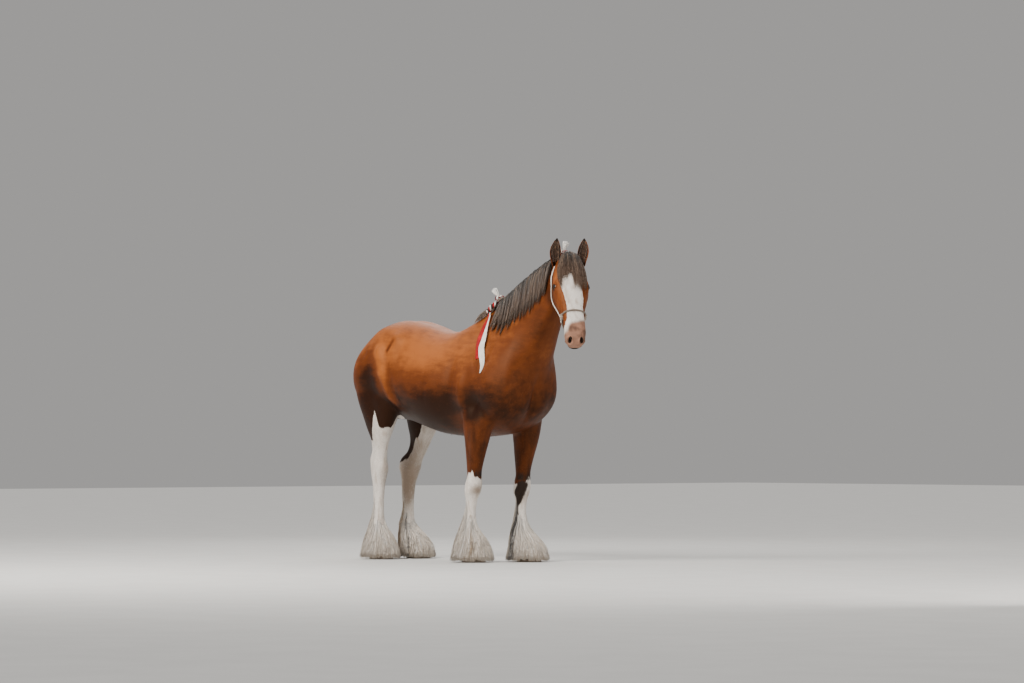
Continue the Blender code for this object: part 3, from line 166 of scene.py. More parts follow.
# Each leg: its side, its rows, its joint heights, and the x and y of its axis at each joint.
LEGS = {
    "fore_right": (-1, FORE_LEG, FORE_JOINTS,
                   (0.56, 0.545, 0.498, 0.477, 0.458, 0.44, 0.424, 0.452),
                   (0.19, 0.205, 0.197, 0.192, 0.19, 0.187, 0.185, 0.185)),
    "fore_left": (1, FORE_LEG, FORE_JOINTS,
                  (0.6, 0.572, 0.556, 0.552, 0.546, 0.546, 0.56, 0.622),
                  (0.19, 0.2, 0.188, 0.182, 0.179, 0.177, 0.175, 0.175)),
    "hind_right": (-1, HIND_LEG, HIND_JOINTS,
                   (-0.62, -0.57, -0.582, -0.592, -0.614, -0.622, -0.63, -0.608),
                   (0.17, 0.19, 0.182, 0.174, 0.165, 0.163, 0.16, 0.16)),
    "hind_left": (1, HIND_LEG, HIND_JOINTS,
                  (-0.62, -0.572, -0.572, -0.594, -0.672, -0.694, -0.69, -0.6),
                  (0.17, 0.19, 0.182, 0.174, 0.165, 0.163, 0.16, 0.16)),
}
# How far each pair's toes turn out, reached below the elbow and the stifle.
TOE_OUT = {"fore": radians(4), "hind": radians(16)}
CORONET = 0.096
HOOF_SOLE = (0.098, 0.076, 0.084)
HOOF_CROWN = (0.068, 0.066, 0.068)
TAIL_TOP, TAIL_LENGTH = (-0.868, 1.5), 0.2
PATCH = 0.003

# View of the photograph: azimuth, distance, picture columns to the metre, middle and horizon.
VIEW_AZIMUTH = radians(50)
VIEW_DISTANCE, VIEW_SCALE = 30.0, 142.0
VIEW_COLUMN, VIEW_HORIZON, VIEW_HEIGHT = 452.0, 441.0, 0.84
FRAME_WIDTH, FRAME_HEIGHT, SENSOR = 1024, 683, 36.0


def spline(rows, places):
    """Catmull-Rom curve through the rows, read at the places, which count rows."""
    rows = np.asarray(rows, float)
    places = np.asarray(places, float)
    last = len(rows) - 1
    i = np.clip(np.floor(places).astype(int), 0, last - 1)
    t = (places - i).reshape((-1,) + (1,) * (rows.ndim - 1))
    a, b = rows[np.clip(i - 1, 0, last)], rows[i]
    c, d = rows[i + 1], rows[np.clip(i + 2, 0, last)]
    return b + 0.5 * t * (c - a + t * (2 * a - 5 * b + 4 * c - d + t * (3 * (b - c) + d - a)))


def spline_ring(rings, around):
    """Reads closed rings of control points at the shares around of one turn."""
    rings = np.asarray(rings, float)
    wrapped = np.concatenate([rings[:, -2:], rings, rings[:, :3]], axis=1)
    places = 2 + np.asarray(around, float) % 1.0 * rings.shape[1]
    return np.swapaxes(spline(np.swapaxes(wrapped, 0, 1), places), 0, 1)


def soft(low, high, x):
    """0 up to low, 1 from high, and three t squared less two t cubed between."""
    t = np.clip((np.asarray(x, float) - low) / (high - low), 0, 1)
    return t * t * (3 - 2 * t)


def eased_limit(x, start, room):
    """x as it is up to start, then bending over so that it never gains more than room."""
    return np.where(x > start, start + room * np.tanh((x - start) / room), x)


def unit(v):
    v = np.asarray(v, float)
    return v / np.maximum(np.linalg.norm(v, axis=-1, keepdims=True), 1e-9)


def stacked(*columns):
    return np.stack(columns, axis=-1)


def full_turn(count):
    """Angles of a whole turn, in count equal steps from 0."""
    return np.arange(count) / count * 2 * pi


def neck_bend(x_mid):
    """Where a section of the straight neck goes: x and y of its middle, and its turn."""
    steps = np.linspace(NECK_FROM, max(x_mid, NECK_FROM + 1e-6), 40)
    turns = -NECK_TURN * soft(NECK_FROM, NECK_TO, steps)
    step = steps[1] - steps[0]
    x = NECK_FROM + np.sum(np.cos(turns[:-1])) * step
    y = np.sum(np.sin(turns[:-1])) * step
    return (x, y, turns[-1]) if x_mid > NECK_FROM else (x_mid, 0.0, 0.0)


def turned(points, x_mid, to_x, to_y, angle):
    """Turns points about the upright line through x_mid and carries that line to to_x, to_y."""
    points = np.asarray(points, float)
    x, y = points[..., 0] - x_mid, points[..., 1]
    c, s = cos(angle), sin(angle)
    return stacked(to_x + c * x - s * y, to_y + s * x + c * y, points[..., 2])


def depth_ring(top, bottom, depths, widths):
    """Control points of one section: down its right side (-Y) and up its left."""
    top, bottom = np.asarray(top, float), np.asarray(bottom, float)
    side = np.array([top + (bottom - top) * d for d in depths])
    across = np.array([[0.0, w, 0.0] for w in widths])
    return np.vstack([[top], side - across, [bottom], (side + across)[::-1]])


def trunk_net():
    """Control rings of trunk and neck: each row's section, bent with the neck."""
    rings = []
    for row in TRUNK:
        ring = depth_ring((row[0], 0, row[1]), (row[2], 0, row[3]), DEPTHS, row[4:])
        x_mid = (row[0] + row[2]) / 2
        rings.append(turned(ring, x_mid, *neck_bend(x_mid)))
    return np.array(rings)


def head_point(along, front, across):
    """A point of the straight head, from its place along, off and across the face line."""
    c, s = cos(FACE_LEAN), sin(FACE_LEAN)
    along, front, across = np.broadcast_arrays(along, front, across)
    across = across + FACE_SWAY * along
    x = POLL[0] + s * along + c * front
    z = POLL[1] - c * along + s * front
    return stacked(x, across, z)


def on_head(points):
    """Turns points of the straight head at the poll, then with the bent neck."""
    at_poll = turned(points, POLL_JOINT_X, POLL_JOINT_X, 0.0, -POLL_TURN)
    return turned(at_poll, POLL_JOINT_X, *neck_bend(POLL_JOINT_X))


def off_head(points):
    """Undoes on_head and head_point: places along, off and across the face line."""
    x, y, angle = neck_bend(POLL_JOINT_X)
    angle -= POLL_TURN
    p = np.asarray(points, float)
    dx, dy = p[..., 0] - x, p[..., 1] - y
    c, s = cos(angle), sin(angle)
    x_straight = POLL_JOINT_X + c * dx + s * dy - POLL[0]
    across = -s * dx + c * dy
    z = p[..., 2] - POLL[1]
    c, s = cos(FACE_LEAN), sin(FACE_LEAN)
    along = s * x_straight - c * z
    return along, c * x_straight + s * z, across - FACE_SWAY * along


def head_net():
    """Control rings down the face, turned with the head."""
    rings = []
    for along, front, back, *widths in HEAD:
        ring = depth_ring((along, 0, front), (along, 0, back), HEAD_DEPTHS, widths)
        rings.append(head_point(ring[:, 0], ring[:, 2], ring[:, 1]))
    return on_head(np.array(rings))


def surface(net, along, around):
    """Rings of the surface through a net: a spline along its rows, then one around."""
    return spline_ring(spline(net, along), around)


def net_points(net, rows, arounds):
    """Points of the surface through a net, one for each pair of row and share of a turn.

    Catmull-Rom weights along and around are multiplied over a four by four patch."""
    rows, arounds = np.broadcast_arrays(np.asarray(rows, float), np.asarray(arounds, float))
    last, count = len(net) - 1, net.shape[1]

    def weights(t):
        return 0.5 * stacked(-t + 2 * t**2 - t**3, 2 - 5 * t**2 + 3 * t**3,
                             t + 4 * t**2 - 3 * t**3, t**3 - t**2)

    i = np.clip(np.floor(rows).astype(int), 0, last - 1)
    place = arounds % 1.0 * count
    j = np.floor(place).astype(int)
    wi, wj = weights(rows - i), weights(place - j)
    total = np.zeros(rows.shape + (3,))
    for a in range(4):
        for b in range(4):
            patch = net[np.clip(i + a - 1, 0, last), (j + b - 1) % count]
            total += (wi[..., a] * wj[..., b])[..., None] * patch
    return total


def on_net(net, rows, arounds, off):
    """Points off a net's surface, and the way out from it there."""
    here = net_points(net, rows, arounds)
    last = len(net) - 1
    down = (net_points(net, np.clip(rows + 0.02, 0, last), arounds)
            - net_points(net, np.clip(rows - 0.02, 0, last), arounds))
    across = net_points(net, rows, arounds + 0.01) - net_points(net, rows, arounds - 0.01)
    out = unit(np.cross(across, down))
    centre = spline(net.mean(axis=1), np.asarray(rows).ravel()).reshape(here.shape)
    out *= np.sign(np.sum(out * (here - centre), axis=-1, keepdims=True))
    return here + out * np.asarray(off)[..., None], out


def leg_axis(leg, heights):
    """Where a leg's axis stands at heights, on straight lines between its joints."""
    side, _, joints, xs, ys = LEGS[leg]
    order = np.argsort(joints)
    z = np.array(joints)[order]
    x = np.interp(heights, z, np.array(xs)[order])
    y = np.interp(heights, z, np.array(ys)[order])
    return x, side * y


def pair_of(leg):
    return leg.split("_")[0]


def leg_turn(leg, z):
    """How far a leg's section at a height is turned about its axis."""
    return LEGS[leg][0] * TOE_OUT[pair_of(leg)] * (1 - soft(0.7, 1.05, z))


def toed(x, y, ahead, beside, angle):
    """Sizes ahead and beside, turned by the angle of the toe and carried to x and y."""
    return (x + ahead * cos(angle) - beside * sin(angle),
            y + ahead * sin(angle) + beside * cos(angle))


def leg_net(leg):
    """Control rings down a leg: half ellipses of its four sizes round its axis."""
    side, rows = LEGS[leg][:2]
    turn = full_turn(10)
    rings = []
    for z, front, back, out, inner in rows:
        x, y = leg_axis(leg, z)
        angle = float(leg_turn(leg, z))
        ahead = np.where(np.cos(turn) > 0, front, back) * np.cos(turn)
        beside = side * np.where(np.sin(turn) > 0, out, inner) * np.sin(turn)
        rings.append(stacked(*toed(x, y, ahead, beside, angle), np.full(10, z)))
    return np.array(rings)


def put(points):
    """Places of the layout carried into the shared frame."""
    return np.asarray(points, float) - ORIGIN


def give_values(mesh, values):
    for key, value in values.items():
        layer = mesh.attributes.new(key, "FLOAT", "POINT")
        layer.data.foreach_set("value", np.asarray(value, np.float32).ravel())


def mesh_from(name, points, faces, uv=None, values=None, smooth=True):
    """A mesh object from an array of points and an array of faces of one size.

    uv holds a pair for each point, and values one number a point for each named attribute."""
    points, faces = np.asarray(points, np.float32).reshape(-1, 3), np.asarray(faces, np.int32)
    mesh = bpy.data.meshes.new(name)
    size, count = faces.shape[1], len(faces)
    mesh.vertices.add(len(points))
    mesh.vertices.foreach_set("co", points.ravel())
    mesh.loops.add(size * count)
    mesh.loops.foreach_set("vertex_index", faces.ravel())
    mesh.polygons.add(count)
    mesh.polygons.foreach_set("loop_start", np.arange(0, size * count, size, dtype=np.int32))
    mesh.update(calc_edges=True)
    if uv is not None:
        layer = mesh.uv_layers.new(name="OFBake")
        layer.data.foreach_set("uv", np.asarray(uv, np.float32)[faces.ravel()].ravel())
    give_values(mesh, values or {})
    if smooth:
        mesh.shade_smooth()
    made = bpy.data.objects.new(name, mesh)
    bpy.context.scene.collection.objects.link(made)
    return made


def grid_faces(rows, columns, closed=True):
    """Quads of a grid of points, joined round where it is closed."""
    across = columns if closed else columns - 1
    i, j = np.meshgrid(np.arange(rows - 1) * columns, np.arange(across), indexing="ij")
    k = (j + 1) % columns
    return stacked(i + j, i + k, i + columns + k, i + columns + j).reshape(-1, 4)


def outward(obj, merge=0.0):
    """Turns all faces out, after points closer than merge are made one."""
    bm = bmesh.new()
    bm.from_mesh(obj.data)
    if merge:
        bmesh.ops.remove_doubles(bm, verts=bm.verts, dist=merge)
    bmesh.ops.recalc_face_normals(bm, faces=bm.faces)
    bm.to_mesh(obj.data)
    bm.free()
    return obj


def tube(name, rings, values=None, closed=False):
    """A surface through rings of points: grid of quads, its ends drawn to their middles."""
    rings = np.asarray(rings, float)
    if closed:
        rings = np.concatenate([rings, rings[:1]])
    else:
        ends = [np.repeat(ring.mean(axis=0, keepdims=True), rings.shape[1], axis=0)[None]
                for ring in (rings[0], rings[-1])]
        rings = np.concatenate([ends[0], rings, ends[1]])
    rows, columns = rings.shape[:2]
    u, v = np.meshgrid(np.arange(columns) / columns, np.linspace(0, 1, rows))
    made = mesh_from(name, put(rings), grid_faces(rows, columns),
                     stacked(u, v).reshape(-1, 2), values)
    return outward(made, 1e-6)


def loft(name, net, rows, columns):
    """A closed tube over a net, read at even places along and around it."""
    along = np.linspace(0, len(net) - 1, rows)
    return tube(name, surface(net, along, np.arange(columns) / columns))


def strand_faces(rows, sides):
    """Triangles of one tuft of some rows of points and a tip, pointing out."""
    i, j = np.meshgrid(np.arange(rows - 1), np.arange(sides), indexing="ij")
    k = (j + 1) % sides
    a, b = i * sides + j, i * sides + k
    last_row = (rows - 1) * sides
    return np.concatenate([
        stacked(a, b, b + sides).reshape(-1, 3),
        stacked(a, b + sides, a + sides).reshape(-1, 3),
        stacked(last_row + np.arange(sides), last_row + (np.arange(sides) + 1) % sides,
                np.full(sides, rows * sides)),
        stacked(np.zeros(sides - 2, int), np.arange(2, sides), np.arange(1, sides - 1)),
    ])[:, ::-1]


def strands(name, path, wide, half, depth, uv, values, sides=3):
    """Solid tapered tufts: a tube of a few sides along each path, closed at root and tip.

    path and wide hold a point and a width direction for every tuft and step; half and depth
    are its half width and thickness there. The last step is the tip."""
    count, steps = path.shape[:2]
    tangent = unit(np.gradient(path, axis=1))
    wide = unit(wide - tangent * np.sum(wide * tangent, axis=-1, keepdims=True))
    ridge = np.cross(wide, tangent)
    turn = full_turn(sides) + pi / 2
    rings = (path[:, :-1, None]
             + wide[:, :-1, None] * (half[:, :-1, None] * np.cos(turn))[..., None]
             + ridge[:, :-1, None] * (depth[:, :-1, None] * np.sin(turn))[..., None])
    body = rings.reshape(count, -1, 3)
    points = np.concatenate([body, path[:, -1:]], axis=1)
    size, rows = points.shape[1], steps - 1
    one = strand_faces(rows, sides)
    faces = (np.arange(count)[:, None, None] * size + one).reshape(-1, 3)
    step_of = np.concatenate([np.repeat(np.linspace(0, 1, steps)[:-1], sides), [1.0]])
    corner = np.concatenate([np.tile(np.arange(sides) / sides, rows), [0.5]])
    patch = stacked(corner, step_of) * PATCH
    patches = (uv[:, None] + patch[None] - PATCH / 2).reshape(-1, 2)
    data = {key: np.repeat(np.asarray(value, float), size) for key, value in values.items()}
    data["tip"] = np.tile(step_of, count)
    return mesh_from(name, put(points), faces, patches, data, smooth=False)


def node_tree(name):
    made = bpy.data.materials.new(name)
    made.use_nodes = True
    tree = made.node_tree
    return made, tree, tree.nodes["Principled BSDF"]


def settle(tree, node, values=None, links=None):
    """Sets a node's sockets, and links other sockets into it."""
    for key, value in (values or {}).items():
        node.inputs[key].default_value = value
    for key, value in (links or {}).items():
        tree.links.new(value, node.inputs[key])
    return node


def add(tree, kind, values=None, links=None, **settings):
    node = tree.nodes.new(kind)
    for key, value in settings.items():
        setattr(node, key, value)
    return settle(tree, node, values, links)


def relief(tree, height, strength, distance):
    """Fine bumps of a height."""
    depth = {"Strength": strength, "Distance": distance}
    return add(tree, "ShaderNodeBump", depth, {"Height": height}).outputs[0]


def attribute(tree, name):
    return add(tree, "ShaderNodeAttribute", attribute_name=name).outputs["Fac"]


def mix(tree, factor, a, b):
    """Mixes two colours, each a socket or three numbers, by a socket or a number."""
    node = tree.nodes.new("ShaderNodeMix")
    node.data_type = "RGBA"
    for socket, value in ((0, factor), (6, a), (7, b)):
        if isinstance(value, (tuple, list)):
            node.inputs[socket].default_value = (*value, 1.0)
        elif isinstance(value, float):
            node.inputs[socket].default_value = value
        else:
            tree.links.new(value, node.inputs[socket])
    return node.outputs[2]


def sums(tree, operation, a, b=None, c=None):
    node = tree.nodes.new("ShaderNodeMath")
    node.operation = operation
    for socket, value in enumerate((a, b, c)):
        if isinstance(value, (int, float)):
            node.inputs[socket].default_value = float(value)
        elif value is not None:
            tree.links.new(value, node.inputs[socket])
    return node.outputs[0]


def ramp(tree, value, low, high):
    """Carries a value from low..high to 0..1 with soft ends."""
    node = add(tree, "ShaderNodeMapRange", {"From Min": low, "From Max": high},
               {"Value": value}, interpolation_type="SMOOTHSTEP")
    return node.outputs["Result"]


def grain(tree, scale, size, detail=3.0, vector=None):
    """Noise stretched along an axis: position times three scales, then noise of that size."""
    if vector is None:
        vector = tree.nodes.new("ShaderNodeTexCoord").outputs["Object"]
    moved = add(tree, "ShaderNodeMapping", {"Scale": scale}, {"Vector": vector})
    noise = add(tree, "ShaderNodeTexNoise", {"Scale": size, "Detail": detail},
                {"Vector": moved.outputs[0]})
    return noise.outputs["Fac"]


EVEN = (1.0, 1.0, 1.0)
# Bay coat in painted light, at mid tone and in painted shade, mixed by the light attribute.
BAY_PAINTED_LIT = (0.33, 0.094, 0.019)
BAY = (0.118, 0.027, 0.005)
BAY_PAINTED_SHADE = (0.014, 0.0028, 0.0008)
CREAM = (0.88, 0.84, 0.78)
PINK = (0.3, 0.155, 0.105)
# White hair between its streaks, where it is stained, and in painted shade.
CREAM_DEEP = (0.6, 0.555, 0.515)
CREAM_STAINED = (0.42, 0.34, 0.28)
CREAM_PAINTED_SHADE = (0.26, 0.2, 0.155)
PINK_DEEP = (0.13, 0.07, 0.05)
# Near black for black markings and for painted shade in nostrils, creases and sockets.
BLACK_AND_SHADE = (0.014, 0.01, 0.009)
FEATHER_SOOT = (0.03, 0.023, 0.02)
TAN = (0.42, 0.27, 0.14)
# Iris between and on its fibres, pupil, and the dark rim round the iris.
IRIS_DEEP, IRIS = (0.01, 0.005, 0.003), (0.045, 0.019, 0.008)
PUPIL, IRIS_RIM = (0.002, 0.002, 0.003), (0.02, 0.014, 0.012)
# Long hair: colour of root, tip and paler tufts; the feathers' roughness and stain too.
HAIR_LOOKS = {
    "mane_hair": ((0.01, 0.008, 0.008), (0.105, 0.058, 0.033), (0.2, 0.13, 0.085)),
    "forelock_hair": ((0.014, 0.011, 0.01), (0.12, 0.062, 0.033), (0.2, 0.13, 0.085)),
    "withers_hair": ((0.12, 0.09, 0.07), (0.33, 0.26, 0.21), (0.42, 0.35, 0.29)),
    "feather_hair": ((0.88, 0.82, 0.745), (0.88, 0.77, 0.65), (0.93, 0.9, 0.86), 0.6,
                     (0.43, 0.29, 0.165)),
    "ear_fluff": ((0.03, 0.018, 0.013), (0.1, 0.05, 0.028), (0.2, 0.11, 0.06)),
    "bristle": ((0.8, 0.77, 0.72), (0.88, 0.86, 0.83), (0.9, 0.9, 0.9)),
}


def coat_material():
    """Short bay and white hair: colour by the markings and by painted light and shade, streaked
    bump along the lie.
    """
    made, tree, shader = node_tree("coat")
    body = grain(tree, (7.0, 60.0, 34.0), 9.0)
    legs = grain(tree, (60.0, 60.0, 7.0), 9.0)
    upright = attribute(tree, "upright")
    hair = mix(tree, upright, body, legs)
    broad = grain(tree, EVEN, 5.0, 4.0)
    dapple = grain(tree, EVEN, 16.0, 2.0)
    brushed = mix(tree, upright, grain(tree, (2.0, 9.0, 9.0), 3.4, 4.0),
                  grain(tree, (9.0, 9.0, 1.6), 3.4, 4.0))
    # The light attribute is painted light and shade, with noise added for the coat's own changes of
    # tone.
    light = attribute(tree, "light")
    for noise, depth in ((broad, 0.4), (dapple, 0.26), (brushed, 0.42), (hair, 0.34)):
        light = sums(tree, "ADD", light, sums(tree, "MULTIPLY_ADD", noise, depth, -depth / 2))
    # Painted shade and painted light of the bay, by the light attribute.
    bay = mix(tree, ramp(tree, light, 0.0, 0.55), BAY_PAINTED_SHADE, BAY)
    bay = mix(tree, ramp(tree, light, 0.5, 1.05), bay, BAY_PAINTED_LIT)
    ragged = grain(tree, (1.0, 1.0, 0.35), 34.0, 4.0)
    edge = sums(tree, "ADD", sums(tree, "MULTIPLY_ADD", hair, 0.5, -0.25),
                sums(tree, "MULTIPLY_ADD", ragged, 0.9, -0.45))
    white = ramp(tree, sums(tree, "ADD", attribute(tree, "white"), edge), 0.42, 0.58)
    cream = mix(tree, ramp(tree, hair, 0.3, 0.8), CREAM_DEEP, CREAM)
    cream = mix(tree, ramp(tree, brushed, 0.42, 0.8), cream, CREAM_STAINED)
    # White hair greyed where the light attribute is low: painted shade.
    cream = mix(tree, ramp(tree, light, -0.6, 0.1), CREAM_PAINTED_SHADE, cream)
    skin = ramp(tree, attribute(tree, "bare"), 0.25, 0.8)
    mottle = grain(tree, EVEN, 26.0, 4.0)
    pink = mix(tree, ramp(tree, mottle, 0.38, 0.72), PINK, PINK_DEEP)
    cream = mix(tree, skin, cream, pink)
    colour = mix(tree, white, bay, cream)
    smooth = sums(tree, "MULTIPLY_ADD", attribute(tree, "bare"), -0.85, 1.0)
    edge = sums(tree, "MULTIPLY", edge, smooth)
    # The dark share is black markings and painted shade, both turned to near black.
    dark = ramp(tree, sums(tree, "ADD", attribute(tree, "dark"), edge), 0.3, 0.7)
    colour = mix(tree, dark, colour, BLACK_AND_SHADE)
    settle(tree, shader, {"Specular IOR Level": 0.22, "Specular Tint": (1.0, 0.72, 0.5, 1.0)},
           {"Base Color": colour, "Roughness": sums(tree, "MULTIPLY_ADD", hair, 0.18, 0.44),
            "Normal": relief(tree, hair, 0.22, 0.003)})
    return made


def hair_material(name, root, tip, streak, rough=0.55, stain=None):
    """Long hair: root to tip colour, a share of paler tufts, and fine streaks in each."""
    made, tree, shader = node_tree(name)
    along = attribute(tree, "tip")
    pick = attribute(tree, "pick")
    colour = mix(tree, ramp(tree, along, 0.15, 1.0), root, tip)
    colour = mix(tree, ramp(tree, pick, 0.72, 0.98), colour, streak)
    if stain:
        ground = sums(tree, "MULTIPLY", attribute(tree, "stain"), ramp(tree, along, 0.45, 1.0))
        colour = mix(tree, ramp(tree, ground, 0.2, 1.1), colour, stain)
        sooty = ramp(tree, attribute(tree, "dark"), 0.35, 0.65)
        colour = mix(tree, sooty, colour, FEATHER_SOOT)
        colour = mix(tree, ramp(tree, attribute(tree, "tan"), 0.35, 0.9), colour, TAN)
    spread, least, sheen = (0.16, 0.96, 0.5) if stain else (0.4, 0.78, 0.15)
    shade = sums(tree, "MULTIPLY_ADD", pick, spread, least)
    dim = add(tree, "ShaderNodeHueSaturation", None, {"Value": shade, "Color": colour})
    fine = grain(tree, (90.0, 90.0, 12.0), 12.0)
    settle(tree, shader, {"Roughness": rough, "Specular IOR Level": 0.35, "Sheen Weight": sheen},
           {"Base Color": dim.outputs[0], "Normal": relief(tree, fine, 0.25, 0.002)})
    return made


def cloth_material(name, colour, deep, threads=900.0):
    """Woven ribbon: crossed fine waves for the threads, with slow fading."""
    made, tree, shader = node_tree(name)
    place = tree.nodes.new("ShaderNodeTexCoord").outputs["Object"]
    waves = []
    for direction in ("X", "Z"):
        wave = add(tree, "ShaderNodeTexWave", {"Scale": threads, "Distortion": 0.4},
                   {"Vector": place}, bands_direction=direction)
        waves.append(wave.outputs["Fac"])
    weave = sums(tree, "MULTIPLY", waves[0], waves[1])
    fade = grain(tree, EVEN, 24.0)
    tone = mix(tree, ramp(tree, fade, 0.3, 0.75), deep, colour)
    settle(tree, shader, {"Roughness": 0.62, "Specular IOR Level": 0.2},
           {"Base Color": tone, "Normal": relief(tree, weave, 0.2, 0.0006)})
    return made


def simple_material(name, colour, deep, rough, size=60.0, depth=0.0006, metallic=0.0, scale=EVEN):
    """A worn surface: two tones by noise, with the same noise as fine relief."""
    made, tree, shader = node_tree(name)
    noise = grain(tree, scale, size, 5.0)
    tone = mix(tree, ramp(tree, noise, 0.3, 0.7), deep, colour)
    worn = sums(tree, "MULTIPLY_ADD", noise, 0.25, rough - 0.12)
    settle(tree, shader, {"Metallic": metallic},
           {"Base Color": tone, "Roughness": worn, "Normal": relief(tree, noise, 0.35, depth)})
    return made


def eye_material():
    """Dark brown iris with a wide pupil, read from the piece's own attributes."""
    made, tree, shader = node_tree("eye_wet")
    pupil = attribute(tree, "pupil")
    fibre = grain(tree, EVEN, 420.0, 2.0)
    iris = mix(tree, ramp(tree, fibre, 0.3, 0.7), IRIS_DEEP, IRIS)
    colour = mix(tree, ramp(tree, pupil, 0.6, 0.8), PUPIL, iris)
    colour = mix(tree, ramp(tree, pupil, 1.45, 1.65), colour, IRIS_RIM)
    settle(tree, shader, {"Roughness": 0.1, "Specular IOR Level": 0.25, "Coat Weight": 0.3,
                          "Coat Roughness": 0.04}, {"Base Color": colour})
    return made


def floor_material():
    return simple_material("floor_pale", (0.6, 0.6, 0.59), (0.56, 0.56, 0.55), 0.8, 3.0, 0.001)


def dock_material():
    return simple_material("dock_skin", (0.1, 0.05, 0.03), (0.05, 0.03, 0.02), 0.6)


def horn_material():
    """Hoof horn, its noise drawn out round the wall."""
    return simple_material("horn", (0.42, 0.35, 0.27), (0.2, 0.16, 0.13), 0.5, 30.0, 0.0008,
                           scale=(0.6, 0.6, 3.0))


def strap_material():
    return simple_material("strap_pale", (0.8, 0.77, 0.72), (0.62, 0.58, 0.52), 0.6, 180.0, 0.0004)


def rope_material():
    return simple_material("rope_grey", (0.24, 0.19, 0.15), (0.1, 0.075, 0.06), 0.75, 260.0,
                           0.0006)


def knot_material():
    return simple_material("knot_pale", (0.42, 0.36, 0.3), (0.2, 0.16, 0.13), 0.75, 260.0, 0.0006)


def metal_material():
    return simple_material("ring_metal_worn", (0.62, 0.6, 0.57), (0.4, 0.38, 0.36), 0.32, 90.0,
                           0.0002, 1.0)


def make_camera():
    """A long lens from the photograph's side, its horizon set by a small shift."""
    data = bpy.data.cameras.new("camera")
    camera = bpy.data.objects.new("camera", data)
    bpy.context.scene.collection.objects.link(camera)
    bpy.context.scene.camera = camera
    look = Vector((-sin(VIEW_AZIMUTH), cos(VIEW_AZIMUTH), 0))
    right = Vector((cos(VIEW_AZIMUTH), sin(VIEW_AZIMUTH), 0))
    data.sensor_width = SENSOR
    data.lens = VIEW_SCALE * VIEW_DISTANCE * SENSOR / FRAME_WIDTH
    data.shift_y = (VIEW_HORIZON - FRAME_HEIGHT / 2) / FRAME_WIDTH
    data.clip_end = 300
    middle = Vector(put((0.0, 0.0, 0.0)))
    aside = (FRAME_WIDTH / 2 - VIEW_COLUMN) / VIEW_SCALE
    camera.location = middle - look * VIEW_DISTANCE + right * aside + Vector((0, 0, VIEW_HEIGHT))
    camera.rotation_mode = "QUATERNION"
    camera.rotation_quaternion = look.to_track_quat("-Z", "Y")


# Each light: its kind, place, size or angle, power and colour; then the room's glow.
LIGHTS = {
    "sky": ("SUN", (-2.0, 2.2, 7.0), radians(70), 2.05, (1.0, 0.97, 0.93)),
    "key": ("AREA", (0.6, -6.2, 5.6), 3.0, 760, (1.0, 0.95, 0.88)),
    "fill": ("AREA", (8.0, -1.0, 2.4), 4.0, 190, (1.0, 0.94, 0.88)),
    "rim": ("AREA", (-4.2, 3.6, 4.4), 2.5, 80, (1.0, 0.97, 0.92)),
}
LIGHTS_AIM = (0, 0, 1.1)
ROOM_COLOUR, ROOM_POWER = (0.89, 0.87, 0.85, 1.0), 0.42


def make_light():
    """A wide soft sky from behind, a soft key from the left, a weak fill and a rim."""
    for name, (kind, place, size, power, colour) in LIGHTS.items():
        data = bpy.data.lights.new(name, kind)
        if kind == "SUN":
            data.angle = size
        else:
            data.size = size
        data.energy = power
        data.color = colour
        light = bpy.data.objects.new(name, data)
        light.location = place
        light.rotation_mode = "QUATERNION"
        aim = Vector(LIGHTS_AIM) - light.location
        light.rotation_quaternion = aim.to_track_quat("-Z", "Y")
        bpy.context.scene.collection.objects.link(light)
    world = bpy.data.worlds.new("room")
    world.use_nodes = True
    back = world.node_tree.nodes["Background"]
    back.inputs[0].default_value = ROOM_COLOUR
    back.inputs[1].default_value = ROOM_POWER
    bpy.context.scene.world = world


def make_floor():
    """A large plain sheet of pale floor."""
    span = np.linspace(-40.0, 40.0, 9)
    x, y = np.meshgrid(span, span)
    points = stacked(x, y, 0 * x - 0.0005)
    floor = mesh_from("floor", points, grid_faces(9, 9, False), smooth=False)
    floor.data.materials.append(floor_material())


def gauss(points, centre, radii):
    """A soft ball: e to the minus squared distance from the centre, counted in radii."""
    d = (points - np.asarray(centre, float)) / np.asarray(radii, float)
    return np.exp(-np.sum(d * d, axis=-1))


def ridge_field(points, ends, width):
    """A bump along a line: e to the minus squared distance to the segment over width."""
    a, b = np.asarray(ends[0], float), np.asarray(ends[1], float)
    along = np.clip(np.sum((points - a) * (b - a), axis=-1) / np.sum((b - a) ** 2), 0, 1)
    d = np.linalg.norm(points - (a + along[..., None] * (b - a)), axis=-1)
    return np.exp(-(d / width) ** 2)


def both_sides(points):
    """Points with their y made positive, for shapes that both sides share."""
    out = np.array(points, float)
    out[..., 1] = np.abs(out[..., 1])
    return out


